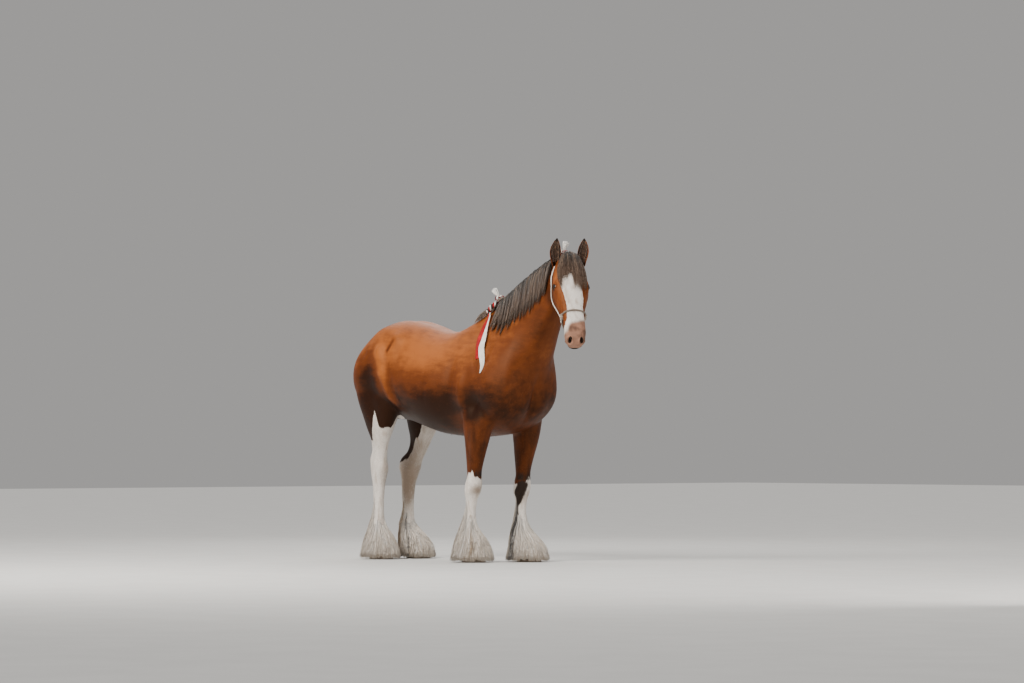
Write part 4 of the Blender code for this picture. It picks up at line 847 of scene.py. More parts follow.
MUSCLES = (
    # Height, centre (x, |y|, z), radii.
    (0.018, (-0.3, 0.25, 1.56), (0.05, 0.06, 0.045)),
    (-0.014, (-0.36, 0.285, 1.49), (0.04, 0.08, 0.06)),
    (-0.012, (-0.22, 0.3, 1.43), (0.08, 0.12, 0.12)),
    (0.016, (-0.64, 0.29, 1.42), (0.12, 0.14, 0.13)),
    (-0.016, (-0.545, 0.31, 1.29), (0.06, 0.14, 0.17)),
    (0.014, (-0.69, 0.27, 1.23), (0.07, 0.12, 0.17)),
    (0.016, (-0.43, 0.3, 1.14), (0.08, 0.12, 0.11)),
    (-0.012, (-0.52, 0.26, 1.04), (0.05, 0.12, 0.08)),
    (0.01, (-0.52, 0.23, 1.64), (0.22, 0.07, 0.06)),
    (-0.012, (-0.5, 0.0, 1.7), (0.3, 0.035, 0.08)),
    (0.018, (0.44, 0.29, 1.18), (0.07, 0.1, 0.16)),
    (-0.02, (0.565, 0.26, 1.07), (0.055, 0.11, 0.075)),
    (0.014, (0.69, 0.215, 1.24), (0.07, 0.09, 0.07)),
    (0.01, (0.6, 0.22, 1.44), (0.06, 0.11, 0.12)),
    (-0.012, (0.33, 0.3, 1.34), (0.045, 0.12, 0.21)),
    (-0.012, (0.655, 0.23, 1.42), (0.035, 0.1, 0.12)),
    (0.012, (0.78, 0.15, 1.37), (0.06, 0.08, 0.09)),
    (0.02, (0.84, 0.085, 1.09), (0.09, 0.06, 0.09)),
    (-0.022, (0.9, 0.0, 1.1), (0.12, 0.024, 0.15)),
    (-0.012, (0.76, 0.165, 1.13), (0.05, 0.045, 0.09)),
    (0.008, (0.1, 0.34, 1.2), (0.2, 0.12, 0.17)),
    (-0.008, (-0.16, 0.32, 1.06), (0.12, 0.12, 0.08)),
)
GROOVES = (
    # Height, ends of a line (x, |y|, z), width.
    (-0.012, ((-0.315, 0.27, 1.54), (-0.37, 0.3, 1.45)), 0.018),
    (0.014, ((-0.43, 0.315, 1.48), (-0.385, 0.315, 1.32)), 0.034),
    (0.014, ((-0.385, 0.315, 1.32), (-0.3, 0.285, 1.03)), 0.03),
    (-0.012, ((-0.33, 0.31, 1.42), (-0.25, 0.3, 1.06)), 0.034),
    (-0.01, ((-0.8, 0.2, 1.5), (-0.73, 0.23, 1.06)), 0.022),
    (-0.009, ((-0.6, 0.3, 1.46), (-0.64, 0.26, 1.1)), 0.02),
    (-0.014, ((0.8, 0.12, 1.28), (1.13, 0.07, 1.78)), 0.028),
    (-0.01, ((0.65, 0.26, 1.17), (0.5, 0.25, 1.01)), 0.02),
    (0.01, ((0.7, 0.2, 1.56), (1.08, 0.09, 1.9)), 0.05),
    (-0.01, ((0.4, 0.25, 1.58), (0.64, 0.26, 1.24)), 0.02),
    (0.008, ((0.47, 0.3, 1.4), (0.44, 0.29, 1.05)), 0.026),
    (0.01, ((0.64, 0.23, 1.19), (0.8, 0.15, 1.12)), 0.026),
    (-0.009, ((0.56, 0.25, 1.01), (0.76, 0.19, 1.06)), 0.018),
    (0.005, ((0.32, 0.28, 0.98), (0.0, 0.25, 0.96)), 0.016),
    (-0.006, ((0.25, 0.33, 1.48), (0.22, 0.345, 1.12)), 0.016),
    (-0.005, ((0.13, 0.34, 1.48), (0.1, 0.35, 1.12)), 0.016),
)


# Relief of the limbs: height, degrees from ahead to the outer side, their spread, then the
# height above the ground and its spread.
LIMB_RELIEF = {
    "fore": (
        (0.008, (0,), 45, 0.525, 0.034), (0.006, (80, -80), 35, 0.56, 0.022),
        (0.006, (90, -90), 35, 0.485, 0.022), (0.009, (180,), 30, 0.545, 0.03),
        (-0.006, (180,), 60, 0.6, 0.03), (-0.007, (125, -125), 22, 0.36, 0.11),
        (0.004, (180,), 25, 0.36, 0.11), (-0.004, (55, -55), 25, 0.37, 0.08),
        (0.012, (40,), 45, 0.86, 0.1), (0.01, (-60,), 45, 0.88, 0.11),
        (-0.008, (100,), 20, 0.78, 0.14), (-0.006, (5,), 14, 0.84, 0.12),
        (0.007, (150,), 40, 0.9, 0.12), (0.006, (180,), 50, 0.245, 0.024),
    ),
    "hind": (
        (0.01, (180,), 30, 0.715, 0.034), (0.007, (60, -60), 35, 0.64, 0.034),
        (0.006, (0,), 40, 0.655, 0.04), (-0.012, (125, -125), 28, 0.8, 0.08),
        (0.006, (180,), 22, 0.82, 0.09), (-0.007, (125, -125), 22, 0.42, 0.13),
        (0.004, (180,), 25, 0.42, 0.13), (-0.004, (60, -60), 25, 0.43, 0.1),
        (0.012, (60,), 40, 0.96, 0.11), (0.008, (0,), 35, 0.93, 0.1),
        (-0.008, (100,), 22, 0.9, 0.12), (0.006, (180,), 50, 0.275, 0.024),
    ),
}
# Relief of the face: height, centre (along, off and away from the face line), radii.
FACE_RELIEF = (
    (-0.012, (0.15, -0.035, 0.095), (0.04, 0.03, 0.03)),
    (0.008, (0.185, -0.02, 0.1), (0.03, 0.022, 0.03)),
    (0.009, (0.29, -0.17, 0.11), (0.08, 0.07, 0.05)),
    (-0.008, (0.4, -0.075, 0.095), (0.07, 0.03, 0.04)),
    (-0.006, (0.47, -0.06, 0.085), (0.08, 0.025, 0.04)),
    (0.006, (0.56, -0.02, 0.05), (0.05, 0.03, 0.03)),
    (0.005, (0.625, -0.07, 0.075), (0.03, 0.03, 0.03)),
    (-0.005, (0.56, -0.12, 0.07), (0.03, 0.02, 0.03)),
    (0.005, (0.64, -0.06, 0.02), (0.025, 0.03, 0.03)),
)
# The cheek bone's ridge and the groove below it: height, ends of a line, width.
FACE_LINES = (
    (0.006, ((0.27, -0.08, 0.118), (0.43, -0.085, 0.092)), 0.014),
    (-0.004, ((0.3, -0.215, 0.08), (0.43, -0.16, 0.075)), 0.014),
)
LID_THICKNESS = 0.0035


def bumps(points, places, lines):
    """Sum of soft balls and of ridges along lines, each times its height."""
    push = np.zeros(len(points))
    for height, centre, radii in places:
        push += height * gauss(points, centre, radii)
    for height, ends, width in lines:
        push += height * ridge_field(points, ends, width)
    return push


def sculpted(points, normals):
    """Body relief: each muscle and groove pushes the skin along its normal."""
    push = bumps(both_sides(points), MUSCLES, GROOVES)
    z = points[:, 2]
    for leg, (side, *_) in LEGS.items():
        x, y = leg_axis(leg, z)
        ahead, beside = points[:, 0] - x, points[:, 1] - y
        near = gauss(stacked(ahead, beside), (0, 0), (0.13, 0.12))
        near *= soft(0.0, 0.02, points[:, 1] * side)
        turn = np.degrees(np.arctan2(beside * side, ahead))
        for height, middles, spread, at, tall in LIMB_RELIEF[pair_of(leg)]:
            for middle in middles:
                off = (turn - middle + 180) % 360 - 180
                push += near * height * np.exp(-(off / spread) ** 2 - ((z - at) / tall) ** 2)
    return points + normals * push[:, None]


def head_places(points):
    """Places along, off and away from the face line, the same for both sides."""
    along, front, across = off_head(points)
    return stacked(along, front, np.abs(across))


def eye_middle(side):
    return on_head(head_point(EYE_AT[0], EYE_AT[1], side * EYE_AT[2]))


def near_eye(local, reach):
    return np.linalg.norm(local - np.array(EYE_AT), axis=1) < reach


def head_frame(side, forward):
    """Axes of a thing on the side of the head: along the face, out and towards its front."""
    base = on_head(head_point(0.0, 0.0, 0.0))
    along = on_head(head_point(1.0, 0.0, 0.0)) - base
    front = on_head(head_point(0.0, 1.0, 0.0)) - base
    across = (on_head(head_point(0.0, 0.0, 1.0)) - base) * side
    out = across * cos(forward) + front * sin(forward)
    return along, out, np.cross(along, out) * side


def opened_lids(points, side):
    """Draws the skin round an eye to a ball: a thickness over it as lids, and within an almond
    slit to behind its face, with a rim along the slit and a fold above."""
    centre = eye_middle(side)
    d = points - centre
    u, out, v = (d @ axis for axis in head_frame(side, EYE_FORWARD))
    size = np.linalg.norm(d, axis=1)
    slit = 0.016 * np.clip(1 - (u / 0.0235) ** 2, 0, 1) ** 0.7
    closed = soft(-0.001, 0.0016, np.abs(v + 0.0015) - slit)
    close = soft(0.06, 0.03, size) * soft(0.0, 0.012, out)
    rim = 0.003 * np.exp(-((np.abs(v) - slit) / 0.004) ** 2)
    target = np.where(closed > 0.5, EYE_RADIUS + LID_THICKNESS + rim, EYE_RADIUS - 0.007)
    target = target - 0.0022 * np.exp(-((v - slit - 0.01) / 0.0022) ** 2)
    radius = size + (target - size) * close * soft(0.044, 0.03, size)
    return centre + unit(d) * radius[:, None]


def sculpted_head(points, normals):
    """Head relief in the face's own measures: sockets, lids, cheek bone, nostrils and lips."""
    local = head_places(points)
    along, front, a = local.T
    push = bumps(local, FACE_RELIEF, FACE_LINES)
    near = soft(-0.02, 0.03, along) * soft(0.35, 0.28, np.abs(front + 0.12))
    # The line of the mouth runs back from the lips on each side.
    mouth = np.exp(-((front + 0.106 - 0.1 * (0.65 - along)) / 0.0035) ** 2)
    push -= 0.01 * (mouth * soft(0.555, 0.58, along))
    lips = np.exp(-((np.abs(front + 0.106) - 0.012) / 0.007) ** 2)
    push += 0.003 * (lips * soft(0.6, 0.64, along))
    # Nostril: a comma seen from ahead, with a raised rim and a groove up and out from it.
    u = (along - NOSTRIL_HOLE[0]) / 0.016
    v = (a - NOSTRIL_HOLE[1] + 0.005 * u) / 0.014
    ring = np.sqrt(u * u + v * v)
    ahead = soft(-0.105, -0.085, front)
    push -= 0.026 * soft(1.0, 0.5, ring) * ahead
    push += 0.005 * np.exp(-((ring - 1.35) / 0.32) ** 2) * ahead
    push -= 0.008 * ridge_field(local, NOSTRIL_GROOVE, 0.008)
    moved = points + normals * (push * near)[:, None]
    for side in SIDES:
        moved = opened_lids(moved, side)
    return moved


# Middle and half width of the blaze at places along the face.
BLAZE_MIDDLE = ((0.03, 0.165, 0.227, 0.33, 0.4, 0.48, 0.55, 0.67),
                (-0.02, -0.021, -0.008, 0.007, 0.006, 0.008, 0.0, 0.0))
BLAZE_HALF = ((0.02, 0.1, 0.165, 0.227, 0.33, 0.4, 0.48, 0.55, 0.6, 0.67),
              (0.006, 0.045, 0.06, 0.07, 0.064, 0.054, 0.06, 0.078, 0.1, 0.12))
# Height at which the white ends round each leg, by degrees from ahead to the outer side.
WHITE_TOPS = {
    "hind_right": ((-180, 0.8), (-60, 1.02), (-35, 1.06), (-8, 1.04), (4, 0.935), (42, 0.93),
                   (56, 1.0), (64, 1.05), (74, 0.96), (92, 0.885), (130, 0.85), (160, 0.8)),
    "hind_left": ((-180, 0.7), (-106, 0.69), (-96, 0.8), (-70, 0.87), (-45, 0.9),
                  (-30, 1.0), (50, 1.05), (90, 0.95), (150, 0.75)),
    "fore_right": ((-180, 0.59), (-50, 0.585), (40, 0.59), (62, 0.622), (90, 0.628),
                   (120, 0.6)),
    "fore_left": ((-180, 0.56), (-120, 0.545), (-60, 0.53), (-25, 0.545), (0, 0.58), (60, 0.57),
                  (120, 0.55)),
}
# Painted shade on the white legs, at the knee, the hock and in the body's shadow: how much, height,
# how tall, toward which side, how wide.
PAINTED_SHADE_BANDS = {
    "fore_right": (0.75, 0.5, 0.05, 10.0, 70.0),
    "hind_right": (0.45, 0.6, 0.12, -40.0, 60.0),
    "hind_left": (0.75, 0.56, 0.22, -60.0, 120.0),
}
# Painted highlights and painted shade on the bay coat over its rounds and hollows, the thigh's dark
# place partly darker coat too: how much, where (x, |y|, z), how far.
PAINTED_LIGHT_SPOTS = (
    (-0.54, (-0.55, 0.3, 1.28), (0.1, 0.2, 0.19)),
    (-0.3, (-0.42, 0.25, 1.04), (0.09, 0.15, 0.09)),
    (-0.42, (0.565, 0.26, 1.07), (0.075, 0.2, 0.085)),
    (-0.16, (0.84, 0.16, 1.56), (0.2, 0.2, 0.18)),
    (0.3, (-0.8, 0.16, 1.14), (0.1, 0.16, 0.2)),
    (-0.1, (0.78, 0.06, 1.04), (0.16, 0.14, 0.1)),
    (0.2, (0.86, 0.06, 1.2), (0.12, 0.16, 0.14)),
    (-0.24, (0.9, 0.12, 1.42), (0.12, 0.16, 0.22)),
    (-0.45, (1.06, 0.09, 1.66), (0.12, 0.12, 0.2)),
    (-0.1, (0.7, 0.2, 1.2), (0.16, 0.2, 0.16)),
    (0.3, (0.0, 0.33, 1.44), (0.28, 0.2, 0.13)),
    (0.18, (0.74, 0.18, 1.33), (0.08, 0.08, 0.09)),
    (0.22, (0.45, 0.28, 1.2), (0.05, 0.12, 0.14)),
    (0.18, (0.48, 0.2, 0.93), (0.08, 0.15, 0.08)),
    (-0.26, (0.16, 0.33, 1.1), (0.33, 0.2, 0.11)),
)
# Painted highlights along ridges and painted shade in a groove: how much, ends of a line (x, |y|,
# z), width.
PAINTED_LIGHT_LINES = (
    (0.5, ((-0.43, 0.315, 1.48), (-0.385, 0.315, 1.32)), 0.045),
    (0.5, ((-0.385, 0.315, 1.32), (-0.3, 0.285, 1.03)), 0.036),
    (-0.6, ((-0.315, 0.27, 1.545), (-0.35, 0.3, 1.48)), 0.014),
    (0.25, ((0.64, 0.23, 1.19), (0.8, 0.15, 1.12)), 0.03),
)


def face_marks(points):
    """White, dark and bare shares of the face: its blaze, muzzle, nostrils, lips and lids; the dark
    share also holds painted shade.

    The blaze is white within its half width; the rest are soft steps and soft balls."""
    along, front, across = off_head(points)
    local, on_face = head_places(points), head_share(points)
    middle = np.interp(along, *BLAZE_MIDDLE)
    blaze = soft(0.012, -0.012, np.abs(across - middle) - np.interp(along, *BLAZE_HALF))
    blaze *= soft(-0.085, -0.05, front + 0.16 * soft(0.5, 0.6, along))
    muzzle = soft(0.47, 0.56, along + 0.25 * (across + 0.02)) * on_face
    muzzle *= 1 - 0.75 * soft(-0.026, -0.066, across) * soft(0.62, 0.55, along)
    # Dark nostrils are painted shade in the dent that stands for the opening, and the groove beside
    # each is painted shade too.
    hole = np.hypot((along - NOSTRIL_HOLE[0] + 0.003) / 0.0165,
                    (local[:, 2] - NOSTRIL_HOLE[1] + 0.001) / 0.0122)
    nostril = soft(1.25, 0.7, hole) * soft(-0.105, -0.085, front)
    nostril = np.maximum(nostril, 0.44 * ridge_field(local, NOSTRIL_GROOVE, 0.013))
    lip = soft(-0.088, -0.1, front) * soft(0.6, 0.63, along)
    # Painted shade down both sides of the muzzle.
    shaded = 0.48 * soft(0.036, 0.054, across) * soft(0.54, 0.58, along)
    dark = np.maximum(nostril, np.maximum(0.75 * lip, shaded)) * on_face
    # Dark round the eyes: the lids' own dark skin and painted shade in the sockets.
    lids = gauss(local, (EYE_AT[0], EYE_AT[1], EYE_AT[2] + 0.02), (0.03, 0.023, 0.036))
    dark = np.maximum(dark, np.minimum(1.05 * lids, 0.75) * on_face)
    return blaze * on_face, dark, muzzle


def knee_dark(leg, turn, z):
    """Dark share round the fore knees: a slanting patch, a streak and the white's rim."""
    if leg == "fore_left":
        slant = (turn + 56 - 260 * (z - 0.48)) / 46
        patch = 1.2 * np.exp(-slant**2 - ((z - 0.485) / 0.078) ** 4)
        patch += 0.5 * np.exp(-((turn + 75) / 26) ** 2 - ((z - 0.42) / 0.05) ** 2)
        streak = np.exp(-((turn + 96) / 30) ** 2) * soft(0.5, 0.42, z)
        rim = soft(0.55, 0.575, z) * soft(0.68, 0.6, z)
        return np.maximum(patch, np.maximum(0.75 * streak, 0.55 * rim))
    if leg == "fore_right":
        rim = soft(0.585, 0.6, z) * soft(0.68, 0.62, z)
        return 0.6 * rim * soft(60, 30, turn)
    return np.zeros(len(z))


def leg_marks(points):
    """White and dark shares of the legs, and grey for their painted shade, by height and degrees
    round each.
    """
    x, y, z = points.T
    white, dark, grey = np.zeros((3, len(points)))
    for leg, (side, *_) in LEGS.items():
        ax, ay = leg_axis(leg, z)
        # Degrees round the leg: 0 ahead and 90 on the outer side.
        turn = np.degrees(np.arctan2((y - ay) * side, x - ax))
        reach = np.interp(z, (0.88, 0.98), (0.3, 0.19)) if pair_of(leg) == "hind" else 0.2
        here = soft(reach, reach * 0.8, np.hypot(x - ax, y - ay))
        here *= soft(0.0, 0.02, y * side)
        top = np.interp(turn, *zip(*WHITE_TOPS[leg]), period=360)
        top += 0.01 * np.sin(np.radians(3 * turn) + side) + 0.008 * np.sin(np.radians(8 * turn))
        white = np.maximum(white, soft(0.034, -0.034, z - top) * here)
        # grey is painted shade, later taken from the light attribute.
        if leg in PAINTED_SHADE_BANDS:
            depth, middle, tall, toward, wide = PAINTED_SHADE_BANDS[leg]
            off = (turn - toward + 180) % 360 - 180
            grey += depth * np.exp(-((z - middle) / tall) ** 2 - (off / wide) ** 2) * here
        dark = np.maximum(dark, knee_dark(leg, turn, z) * here)
    return white, dark, grey


def bay_painted_light(points):
    """Painted light on the bay: lighter with height, at the lower front and at its highlights,
    darker under the belly and in painted shade; part of the low darkening is the coat's own darker
    belly.
    """
    x, _, z = points.T
    p = both_sides(points)
    light = 0.1 + 0.74 * soft(0.98, 1.58, z)
    light += 0.2 * soft(0.15, 0.4, x) * soft(1.12, 0.95, z)
    for depth, centre, radii in PAINTED_LIGHT_SPOTS:
        light += depth * gauss(p, centre, radii)
    for depth, ends, width in PAINTED_LIGHT_LINES:
        light += depth * ridge_field(p, ends, width)
    under = soft(1.05, 0.92, z) * soft(0.15, -0.1, x)
    return light - 0.16 * under * soft(0.6, 0.8, z)


def markings(points):
    """White, dark and bare shares and the painted light at points of the layout, by formulas alone.
    """
    face_white, face_dark, bare = face_marks(points)
    white, dark, grey = leg_marks(points)
    local, on_face = head_places(points), head_share(points)
    # The legs' grey is painted shade; on the face the light is flat, with painted shade towards the
    # jaw and a painted highlight on the brow.
    light = bay_painted_light(points) - grey
    light += on_face * (0.6 - 0.34 * soft(-0.06, -0.16, local[:, 1]) - light)
    light += 0.25 * on_face * gauss(local, (0.15, -0.03, 0.1), (0.05, 0.05, 0.05))
    groin = gauss(points, (-0.36, 0.0, 0.99), (0.14, 0.12, 0.06))
    dark = np.maximum(np.maximum(dark, face_dark), 0.55 * groin)
    return np.maximum(white, face_white), dark, bare, light


def joined(name, objects):
    bpy.ops.object.select_all(action="DESELECT")
    for obj in objects:
        obj.select_set(True)
    bpy.context.view_layer.objects.active = objects[0]
    bpy.ops.object.join()
    objects[0].name = name
    return objects[0]


def apply_modifiers(obj):
    bpy.ops.object.select_all(action="DESELECT")
    obj.select_set(True)
    bpy.context.view_layer.objects.active = obj
    for modifier in list(obj.modifiers):
        bpy.ops.object.modifier_apply(modifier=modifier.name)


def vertices(obj):
    co = np.empty(len(obj.data.vertices) * 3, np.float32)
    obj.data.vertices.foreach_get("co", co)
    return co.reshape(-1, 3).astype(float)


def layout_points(obj):
    return vertices(obj) + ORIGIN


def vertex_normals(obj):
    out = np.empty(len(obj.data.vertices) * 3, np.float32)
    obj.data.vertex_normals.foreach_get("vector", out)
    return out.reshape(-1, 3).astype(float)


def set_vertices(obj, points):
    obj.data.vertices.foreach_set("co", np.asarray(points, np.float32).ravel())
    obj.data.update()


def unit_ball(rows, columns, gap=0.0):
    """Rings of points on a ball of radius 1, from pole to pole less a small gap."""
    v, u = np.meshgrid(np.linspace(gap, pi - gap, rows), full_turn(columns), indexing="ij")
    return stacked(np.sin(v) * np.cos(u), np.sin(v) * np.sin(u), np.cos(v))


def blob(at, axes, radii):
    """An ellipsoid: centre plus the unit ball's points times radii along three axes."""
    ball = unit_ball(18, 28, 0.02)
    rings = np.asarray(at) + sum(ball[..., i:i + 1] * radii[i] * axes[i] for i in range(3))
    return tube("blob", rings)


def smoothed(obj, weights, rounds, factor=0.5, back=0.0):
    """Each point moves towards the mean of its neighbours, then back by a share that keeps
    the volume."""
    edges = np.empty(len(obj.data.edges) * 2, np.int32)
    obj.data.edges.foreach_get("vertices", edges)
    a, b = edges.reshape(-1, 2).T
    points = vertices(obj)
    count = np.bincount(np.concatenate([a, b]), minlength=len(points))[:, None]
    for step in [share for share in (factor, -back) if share] * rounds:
        total = np.zeros_like(points)
        for axis in range(3):
            total[:, axis] = (np.bincount(a, points[b, axis], len(points))
                              + np.bincount(b, points[a, axis], len(points)))
        points += (total / np.maximum(count, 1) - points) * (step * weights)[:, None]
    set_vertices(obj, points)


def finer(obj, chosen):
    """Cuts the edges between the chosen points in two, in quads and triangles alike."""
    bm = bmesh.new()
    bm.from_mesh(obj.data)
    bm.verts.ensure_lookup_table()
    edges = [e for e in bm.edges if chosen[e.verts[0].index] and chosen[e.verts[1].index]]
    bmesh.ops.subdivide_edges(bm, edges=edges, cuts=1, use_grid_fill=True)
    bm.to_mesh(obj.data)
    bm.free()


SKIN_VOXEL = 0.0114
COAT_DEPTH = 0.003
# Where the skin ahead and to the sides starts to be held in, and how far past that it may go.
FRONT_LIMIT, SIDE_LIMIT = (1.545, 0.006), (0.338, 0.008)


def fused_skin():
    """Lofts of trunk, legs and face, and balls for sockets and chin, fused as voxels."""
    parts = [loft("trunk", trunk_net(), 240, 120)]
    parts += [loft(leg, leg_net(leg), 160, 48) for leg in LEGS]
    parts.append(loft("face", head_net(), 140, 96))
    for side in SIDES:
        parts.append(blob(eye_middle(side), head_frame(side, EYE_FORWARD), ORBIT))
    chin = on_head(head_point(CHIN[0], CHIN[1], 0.0))
    parts.append(blob(chin, head_frame(1, 0.0), (CHIN[2] * 1.2, CHIN[2] * 1.3, CHIN[2])))
    skin = joined("skin", parts)
    skin.data.materials.clear()
    while skin.data.uv_layers:
        skin.data.uv_layers.remove(skin.data.uv_layers[0])
    remesh = skin.modifiers.new("fuse", "REMESH")
    remesh.mode = "VOXEL"
    remesh.voxel_size = SKIN_VOXEL
    apply_modifiers(skin)
    return skin


def relax_skin(skin):
    """Smooths the skin, and cuts it finer on the head, then at the eyes and muzzle."""
    points = layout_points(skin)
    body = 0.12 + 0.88 * soft(0.7, 0.95, points[:, 2])
    smoothed(skin, np.where(head_share(points) > 0.5, 0.1, body), 22, 0.62, 0.56)
    finer(skin, head_share(layout_points(skin)) > 0.5)
    smoothed(skin, (head_share(layout_points(skin)) > 0.3) * 0.8, 4)
    points = layout_points(skin)
    local = head_places(points)
    muzzle = (local[:, 0] > 0.56) & (head_share(points) > 0.5)
    finer(skin, near_eye(local, 0.05) | muzzle)
    points = layout_points(skin)
    local = head_places(points)
    fine = near_eye(local, 0.055) | (local[:, 0] > 0.55)
    smoothed(skin, (fine & (head_share(points) > 0.3)) * 0.8, 3)


def sculpt_skin(skin):
    """Sinks the skin by the coat's depth, then adds the relief of body and head."""
    points, normals = layout_points(skin), vertex_normals(skin)
    head = head_share(points)
    sunk = COAT_DEPTH * (1 - head * soft(0.54, 0.6, off_head(points)[0]))
    points = points - normals * sunk[:, None]
    set_vertices(skin, put(points))
    normals = vertex_normals(skin)
    body = sculpted(points, normals)
    points = points * head[:, None] + body * (1 - head[:, None])
    faced = sculpted_head(points, normals)
    points = faced * head[:, None] + points * (1 - head[:, None])
    points[:, 0] = eased_limit(points[:, 0], *FRONT_LIMIT)
    points[:, 1] = np.sign(points[:, 1]) * eased_limit(np.abs(points[:, 1]), *SIDE_LIMIT)
    set_vertices(skin, put(points))
    return points, head


def cut_wide_faces(obj):
    """Cuts faces of more than four corners into triangles."""
    bm = bmesh.new()
    bm.from_mesh(obj.data)
    bmesh.ops.triangulate(bm, faces=[face for face in bm.faces if len(face.verts) > 4])
    bm.to_mesh(obj.data)
    bm.free()


def make_skin():
    """One closed skin over trunk, head and legs: fused, smoothed, sculpted and marked."""
    skin = fused_skin()
    relax_skin(skin)
    points, head = sculpt_skin(skin)
    cut_wide_faces(skin)
    white, dark, bare, light = markings(points)
    upright = np.maximum(soft(1.02, 0.88, points[:, 2]), head)
    give_values(skin.data, {"white": white, "dark": dark, "bare": bare, "light": light,
                            "upright": upright})
    skin.data.shade_smooth()
    return skin


def head_share(points):
    """1 on the head, 0 behind the cheeks, with a soft edge."""
    along, front, _ = off_head(points)
    back = front + 0.235 + 0.25 * np.clip(0.1 - along, 0, 1)
    return (soft(-0.02, 0.03, along) * soft(-0.06, 0.0, back) * soft(0.9, 1.0, points[:, 0]))


def skin_uv(points):
    """An unwrap of the skin by its own shape: body, head and each leg on a field of its own.

    Body: length against angle round the trunk; head: place along the face against angle;
    legs: height against angle round the leg's axis."""
    x, y, z = points.T
    turn = np.arctan2(y, z - 1.3 - 0.75 * np.clip(x - 0.5, 0, 1)) / (2 * pi) + 0.5
    uv = stacked(0.02 + 0.55 * (x + 1.0) / 2.4, 0.02 + 0.5 * turn)
    along, front, across = off_head(points)
    head = head_share(points) > 0.5
    turn = np.arctan2(across, front + 0.12) / (2 * pi) + 0.5
    uv = np.where(head[:, None], stacked(0.62 + 0.34 * (along + 0.05) / 0.8,
                                         0.02 + 0.5 * turn), uv)
    for k, (leg, (side, *_)) in enumerate(LEGS.items()):
        fore = pair_of(leg) == "fore"
        ax, ay = leg_axis(leg, z)
        mine = (z < (0.87 if fore else 0.96)) & (y * side > 0) & ((x > 0) == fore)
        turn = np.arctan2(y - ay, x - ax) / (2 * pi) + 0.5
        uv = np.where(mine[:, None], stacked(0.02 + 0.245 * k + 0.22 * turn, 0.56 + 0.42 * z), uv)
    return uv


def give_uv(obj):
    """Writes the unwrap to the corners of a mesh."""
    uv = skin_uv(layout_points(obj))
    index = np.empty(len(obj.data.loops), np.int32)
    obj.data.loops.foreach_get("vertex_index", index)
    layer = obj.data.uv_layers.new(name="OFBake")
    layer.data.foreach_set("uv", uv[index].astype(np.float32).ravel())


def trunk_row(x):
    """Row of the trunk's sections whose top stands at x."""
    return np.interp(x, [row[0] for row in TRUNK], np.arange(len(TRUNK)))


def round_share(depth):
    """Share of a turn round a section of the trunk, from the crest down to a depth."""
    return np.interp(depth, (0,) + DEPTHS[:4], np.arange(5) / 14)


def taper(steps, root=0.7, full=0.25, power=0.55):
    """Width along a tuft: from its root share to full, then thinning to the tip."""
    t = np.linspace(0, 1, steps)
    return np.minimum(root + (1 - root) * t / full, 1) * (1 - t) ** power


def locks(name, path, wide, shape, half, least, flat, uv, rng):
    """Tufts of one kind: its taper times a half width that differs from tuft to tuft."""
    count = len(path)
    width = shape[None] * (half * rng.uniform(least, 1.2, count))[:, None]
    return strands(name, path, np.broadcast_to(wide, path.shape), width, width * flat, uv,
                   {"pick": rng.uniform(0, 1, count)})


def clumped(rng, count, clumps, spread):
    """Shares of a line in clumps: each tuft stands near one of the clump middles."""
    middle = (np.arange(clumps) + 0.5 + 0.3 * rng.uniform(-1, 1, clumps)) / clumps
    pick = rng.integers(0, clumps, count)
    return middle[pick] + spread / clumps * rng.normal(0, 0.5, count), pick


MANE_FROM, MANE_SPAN = 0.56, 0.6


def make_mane(rng):
    """Hair from the crest that falls on her right: paths run down the neck's own sections."""
    net, count, steps, clumps = trunk_net(), 4600, 8, 64
    t = np.linspace(0, 1, steps)[None]
    share, pick = clumped(rng, count, clumps, 1.0)
    x = MANE_FROM + MANE_SPAN * np.clip(share, 0, 1)
    phase = rng.uniform(0, 6.28, clumps)[pick]
    deep = np.interp(x, [row[0] for row in TRUNK], [row[1] - row[3] for row in TRUNK])
    length = (0.245 + 0.03 * np.sin(phase) + 0.05 * rng.uniform(-1, 1, count))
    length *= np.interp(x, (0.56, 0.7, 1.05, 1.16), (0.75, 1.0, 1.0, 0.8))
    depth = (length / deep)[:, None] * t**1.15
    around = round_share(depth) - 0.016 * (1 - t) * rng.uniform(0, 1, count)[:, None]
    layer = rng.uniform(0, 1, count)[:, None]
    off = -0.006 + (0.01 + 0.022 * layer) * np.sin(np.clip(t * 4.2, 0, pi / 2))
    off = off * (1 - 0.45 * t) + 0.004 * np.sin(phase[:, None] + 5 * t) * t
    hearts = MANE_FROM + MANE_SPAN * ((np.arange(clumps) + 0.5) / clumps)
    heart = trunk_row(hearts)[pick][:, None]
    row = trunk_row(x)[:, None]
    row = row + (heart - row) * 0.5 * soft(0.3, 1.0, t)
    row = row + t * (-0.1 + 0.2 * np.sin(phase * 3)[:, None]
                     + 0.05 * rng.uniform(-1, 1, count)[:, None])
    path, _ = on_net(net, row, around, off)
    return locks("mane", path, unit((0.87, 0.0, 0.5)), taper(steps, 0.3), 0.0036, 0.6, 0.45,
                 skin_uv(path[:, 1]), rng)


